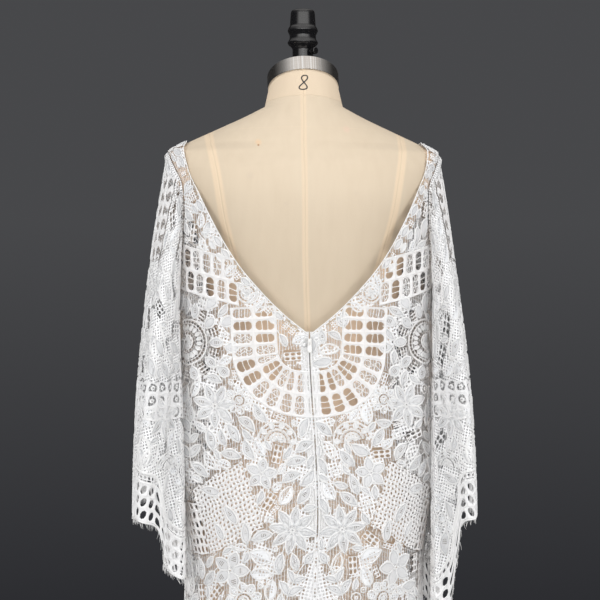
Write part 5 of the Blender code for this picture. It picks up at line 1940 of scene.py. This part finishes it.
for stain in (Stain(0.0700, 1.3735, 0.0021, 0.90, (0.30, 0.12, 0.04)),
              Stain(0.0700, 1.3780, 0.0060, 0.35, (0.85, 0.52, 0.25)),
              Stain(0.0826, 1.3290, 0.0070, 0.20, GREY_BROWN),
              Stain(-0.0555, 1.3980, 0.0070, 0.22, (0.80, 0.50, 0.42)),
              Stain(0.0330, 1.2900, 0.0050, 0.15, GREY_BROWN),
              Stain(-0.0640, 1.3050, 0.0060, 0.12, GREY_BROWN)):
    away = (x - stain.x) * (x - stain.x) + (z - stain.z) * (z - stain.z)
    share = away.math("SQRT").ramp(stain.reach, stain.reach * 0.25) * back_only * stain.strength
    colour = linen.blend(share, colour, stain.colour)
# painted light: below the necklines the linen is painted a warmer, brighter tone, as if lit through the lace
linen.set("Base Color", linen.blend(linen.painted("painted_lace_glow"), colour, (0.73, 0.560, 0.415)))
print("linen:", len(linen.tree.nodes), "nodes")

# %% Weave of the linen
weave = x.wave(0.0011) * 0.5 + z.wave(0.0011) * 0.5 + linen.noise(400.0) * 1.5
linen.bump(weave * 0.25 + nearest.ramp(0.0, 0.0016) * 2.0, 0.0004, 0.5)
wear(cover, linen)
print("cover wears", cover.data.materials[0].name)

# %% [markdown]
# ## The neck ring, the finial and the thumb screw
# The neck ends in a spun steel ring with a plate inside it, brushed round and round. The finial is
# turned from black-lacquered wood, and its thumb screw has a knurled head.

# %% Turned parts
def rounded(profile, radius, steps=4):
    """The profile with each inner corner as a small arc, and a point close beside each arc."""
    profile = np.asarray(profile, float)
    made = [profile[0]]
    for before, corner, after in zip(profile[:-2], profile[1:-1], profile[2:]):
        a, b = before - corner, after - corner
        la, lb = np.linalg.norm(a), np.linalg.norm(b)
        r = min(radius, la * 0.42, lb * 0.42)
        start, end = corner + a / la * r, corner + b / lb * r
        made.append(start + (a / la) * min(r * 0.25, la * 0.05))
        for t in np.linspace(0, 1, steps + 1):
            made.append((1 - t) ** 2 * start + 2 * t * (1 - t) * corner + t ** 2 * end)
        made.append(end + (b / lb) * min(r * 0.25, lb * 0.05))
    made.append(profile[-1])
    return np.array(made)


def turned(name, profile, steps, place, body=BODY, flute=None):
    """A closed turned solid: the profile is (radius, height), from the bottom's middle to the top's."""
    turn = np.arange(steps) * math.tau / steps
    radius = np.maximum(profile[:, :1], 1e-5) * np.ones(steps)
    if flute is not None:
        radius = radius + flute(turn[None, :], profile[:, 1:2]) * (profile[:, :1] > 1e-4)
    heights = np.repeat(profile[:, 1:2], steps, axis=1)
    points = np.stack([radius * np.sin(turn), radius * np.cos(turn), heights], axis=-1)
    faces = faces_grid(len(profile), steps, closed=True)
    piece = make_piece(name, place(points.reshape(-1, 3)), faces, body=body)
    with edited(piece) as bm:
        bmesh.ops.remove_doubles(bm, verts=bm.verts, dist=4e-5)
        bmesh.ops.recalc_face_normals(bm, faces=bm.faces)
    return piece


# %% Neck ring
edge = 0.0005
ring_profile = rounded([(0, -RING_HEIGHT), (RING_RADIUS - edge, -RING_HEIGHT),
                        (RING_RADIUS, -RING_HEIGHT + edge), (RING_RADIUS, -edge), (RING_RADIUS - edge, 0),
                        (RING_RADIUS - 0.004, 0), (RING_RADIUS - 0.005, -0.002), (0, -0.002)], 0.0006)
ring = turned("neck_ring_steel", ring_profile, 128, tilted)
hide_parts("neck_ring")
steel = Finish("brushed_steel", (0.60, 0.59, 0.58), 0.20, Metallic=1.0)
place = steel.node("ShaderNodeMapping", {"vector_type": "POINT"},
                   {"Vector": steel.place(), "Rotation": (-NECK_TILT, 0, 0)}).outputs[0]
scratches = steel.noise(900.0, 3.0, where=place, stretch=(0.02, 0.02, 1.6))
streaks = steel.noise(330.0, 2.0, where=place, stretch=(1.0, 0.0, 0.0))
# painted highlight: in the ring's middle, which faces the camera, streaks are painted near white between warm
# brown, and its sides an even mix; the warm brown is a painted reflection of the linen
middle = abs(steel.parts(place)[0] + 0.002).ramp(0.030, 0.010)
steel.set("Roughness", scratches * 0.08 + 0.20)
painted_glint = streaks.ramp(0.45, 0.62) * middle + (1 - middle) * 0.5
colour = steel.blend(painted_glint, (0.70, 0.65, 0.60), (1.0, 1.0, 0.99))
steel.set("Base Color", steel.blend(scratches.ramp(0.3, 0.7) * 0.2, colour, (0.42, 0.40, 0.39)))
steel.bump(scratches * 0.15 + streaks * middle, 0.0004, 0.35)
wear(ring, steel)
print("neck ring: %.1f cm across" % (200 * RING_RADIUS))


# %% Finial
def upright(points):
    """Points about the finial's own axis, which stands over the middle of the neck ring."""
    return points + np.array([0, RING_TOP[1], 0])


FINIAL_STEM = 0.0150
finial_profile = rounded([(0, 1.470), (FINIAL_STEM, 1.470), (FINIAL_STEM, 1.5235), (0.0172, 1.5268),
                          (0.0206, 1.5295), (0.0226, 1.5327), (0.0206, 1.5360), (0.0193, 1.5385),
                          (0.0192, 1.5435), (0.0204, 1.5462), (0.0223, 1.5503), (0.0207, 1.5545),
                          (0.0188, 1.5572), (0.0186, 1.5620), (0.0176, 1.5760), (0.0166, 1.5795),
                          (0.0125, 1.5812), (0, 1.5815)], 0.0014)
finial = turned("finial_turned", finial_profile, 72, upright)
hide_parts("finial")
lacquer = Finish("black_lacquer", (0.006, 0.006, 0.007), 0.28, Coat_Weight=1.0, Coat_Roughness=0.14)
lacquer.set("Roughness", lacquer.noise(60.0) * 0.10 + 0.22)
wear(finial, lacquer)
print("finial: top at %.4f m" % finial_profile[-1, 1])

# %% Thumb screw
SCREW_WAY, SCREW_REACH, SCREW_HEIGHT = math.radians(50), FINIAL_STEM + 0.0003, 1.519
KNURLS = 24


def sideways(points):
    """Points about the screw's own axis, laid level and turned backwards from the wearer's right."""
    c, s = math.cos(SCREW_WAY), math.sin(SCREW_WAY)
    out = points[:, 2] + SCREW_REACH
    return np.stack([points[:, 1] * s - out * c, RING_TOP[1] + points[:, 1] * c + out * s,
                     points[:, 0] + SCREW_HEIGHT], axis=1)


screw_profile = rounded([(0, 0), (0.0022, 0), (0.0022, 0.0045), (0.0045, 0.0048), (0.0050, 0.0056),
                         (0.0050, 0.0112), (0.0043, 0.0120), (0, 0.0120)], 0.0003)


def knurled(turn, height):
    return 0.00016 * np.cos(KNURLS * turn) * (height > 0.0054) * (height < 0.0114)


screw = turned("finial_thumb_screw", screw_profile, 72, sideways, body="thumb_screw", flute=knurled)
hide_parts("finial_screw")
wear(screw, lacquer)
print("thumb screw:", KNURLS, "knurls")

# %% The size, inked by hand on the neck
INK_HALF, NECK_ROUND = 0.00085, 0.052    # half the pen's stroke, and how round the neck is
t = np.linspace(-0.03, math.tau + 0.03, 40)
ink = np.stack([0.0035 + 0.0050 * np.sin(2 * t) * (1 - 0.2 * np.cos(t)) - 0.0030 * np.cos(t) * 0.6,
                1.4665 + 0.0105 * np.cos(t)], axis=1)
stroke = []
for share in (-1, 0, 1):
    spot = ink - right_of(ink) * share * INK_HALF
    rise = (spot[:, 1] - 1.436) / (seat[0, 2] - 1.436)
    middle_y = root[0, 1] + (seat[0, 1] - root[0, 1]) * rise
    y_at = middle_y - NECK_ROUND + np.sqrt(NECK_ROUND ** 2 - spot[:, 0] ** 2) + 0.00035
    stroke.append(np.stack([spot[:, 0], y_at, spot[:, 1]], axis=1))
figure = make_piece("inked_size", np.stack(stroke, axis=1).reshape(-1, 3), faces_grid(40, 3))
ink_finish = Finish("ink", (0.030, 0.028, 0.030), 0.6)
wear(figure, ink_finish)
print("inked figure: %.1f cm high" % (100 * np.ptp(ink[:, 1])))

# %% [markdown]
# ## The stand and the zip
# The stand's pole and base are plain, in dark satin paint. The zip is white nylon.

# %% Finishes of the stand and the zip
stand_paint = Finish("stand_paint", (0.050, 0.050, 0.052), 0.42)
stand_paint.set("Roughness", stand_paint.noise(30.0) * 0.15 + 0.36)
stand_paint.bump(stand_paint.noise(500.0), 0.0001, 0.2)
nylon = Finish("nylon", (0.82, 0.81, 0.79), 0.4)
nylon.set("Roughness", nylon.noise(200.0) * 0.15 + 0.32)
tape = Finish("woven_tape", (0.78, 0.775, 0.765), 0.8)
x, y, z = tape.parts(tape.place())
tape.bump(x.wave(0.0008) * 0.5 + z.wave(0.0008) * 0.5, 0.0002, 0.5)
# painted shade: the coil is painted dark grey for the shade it lies in
coil_shade_finish = Finish("zip_coil_painted_shade", (0.22, 0.22, 0.225), 0.6)
coil_shade_finish.bump(coil_shade_finish.parts(coil_shade_finish.place())[2].wave(0.0010), 0.0003, 0.8)
for name, finish, slot in (("pole", stand_paint, "stand_paint"), ("base", stand_paint, "stand_paint"),
                           ("zip_slider", nylon, "zip"), ("zip_pull", nylon, "zip")):
    wear(bpy.data.objects[name], finish)


print("plain pieces keep their CAD shape")


# %% Zip tapes and seam allowances
def drifted(node, name):
    """The CAD piece again, moved sideways with the centre back seam."""
    bm = bmesh.new()
    bm.from_mesh(bpy.data.objects[node].data)
    long = [e for e in bm.edges if abs(e.verts[0].co.z - e.verts[1].co.z) > 0.015]
    bmesh.ops.subdivide_edges(bm, edges=long, cuts=3, use_grid_fill=True)
    bmesh.ops.triangulate(bm, faces=bm.faces)
    points = np.array([v.co for v in bm.verts])
    bm.verts.index_update()
    faces = [[v.index for v in face.verts] for face in bm.faces]
    bm.free()
    points[:, 0] -= read(DRIFT, points[:, 2])[:, 0]
    piece = make_piece(name, points, faces, smooth=False)
    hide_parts(node)
    return piece


for side in (1, -1):
    label = LABEL[side]
    strip = drifted("zip_tape_" + label, "zip_%s_tape" % label)
    wear(strip, tape)
    strip = drifted("seam_allowance_" + label, "seam_%s_allowance" % label)
    wear(strip, wall_finish)
    print("zip and seam,", label)

# %% Coil
# The closed coil is white nylon lying in deep shade; it is a strip painted dark grey, a painted shadow that
# shows as a thin dark line between the two sides.
up = np.concatenate([np.linspace(ZIP_END_Z + 0.001, 1.0830, 44), np.linspace(1.0835, 1.0985, 6)])
half = np.interp(up, (1.012, 1.022, 1.083, 1.090), (0.0002, 0.0006, 0.0006, 0.0024))
line = []
for share in (-1, 1):
    line.append(panels[1, False].place(np.full(len(up), 0.0001), up, np.full(len(up), -0.0006)) + np.stack(
        [share * half, 0 * half, 0 * half], axis=1))
coil = make_piece("zip_coil_painted_shade", np.stack(line, axis=1).reshape(-1, 3), faces_grid(len(up), 2)[:, ::-1])
wear(coil, coil_shade_finish)
print("coil: %.1f cm long" % (100 * (up[-1] - up[0])))
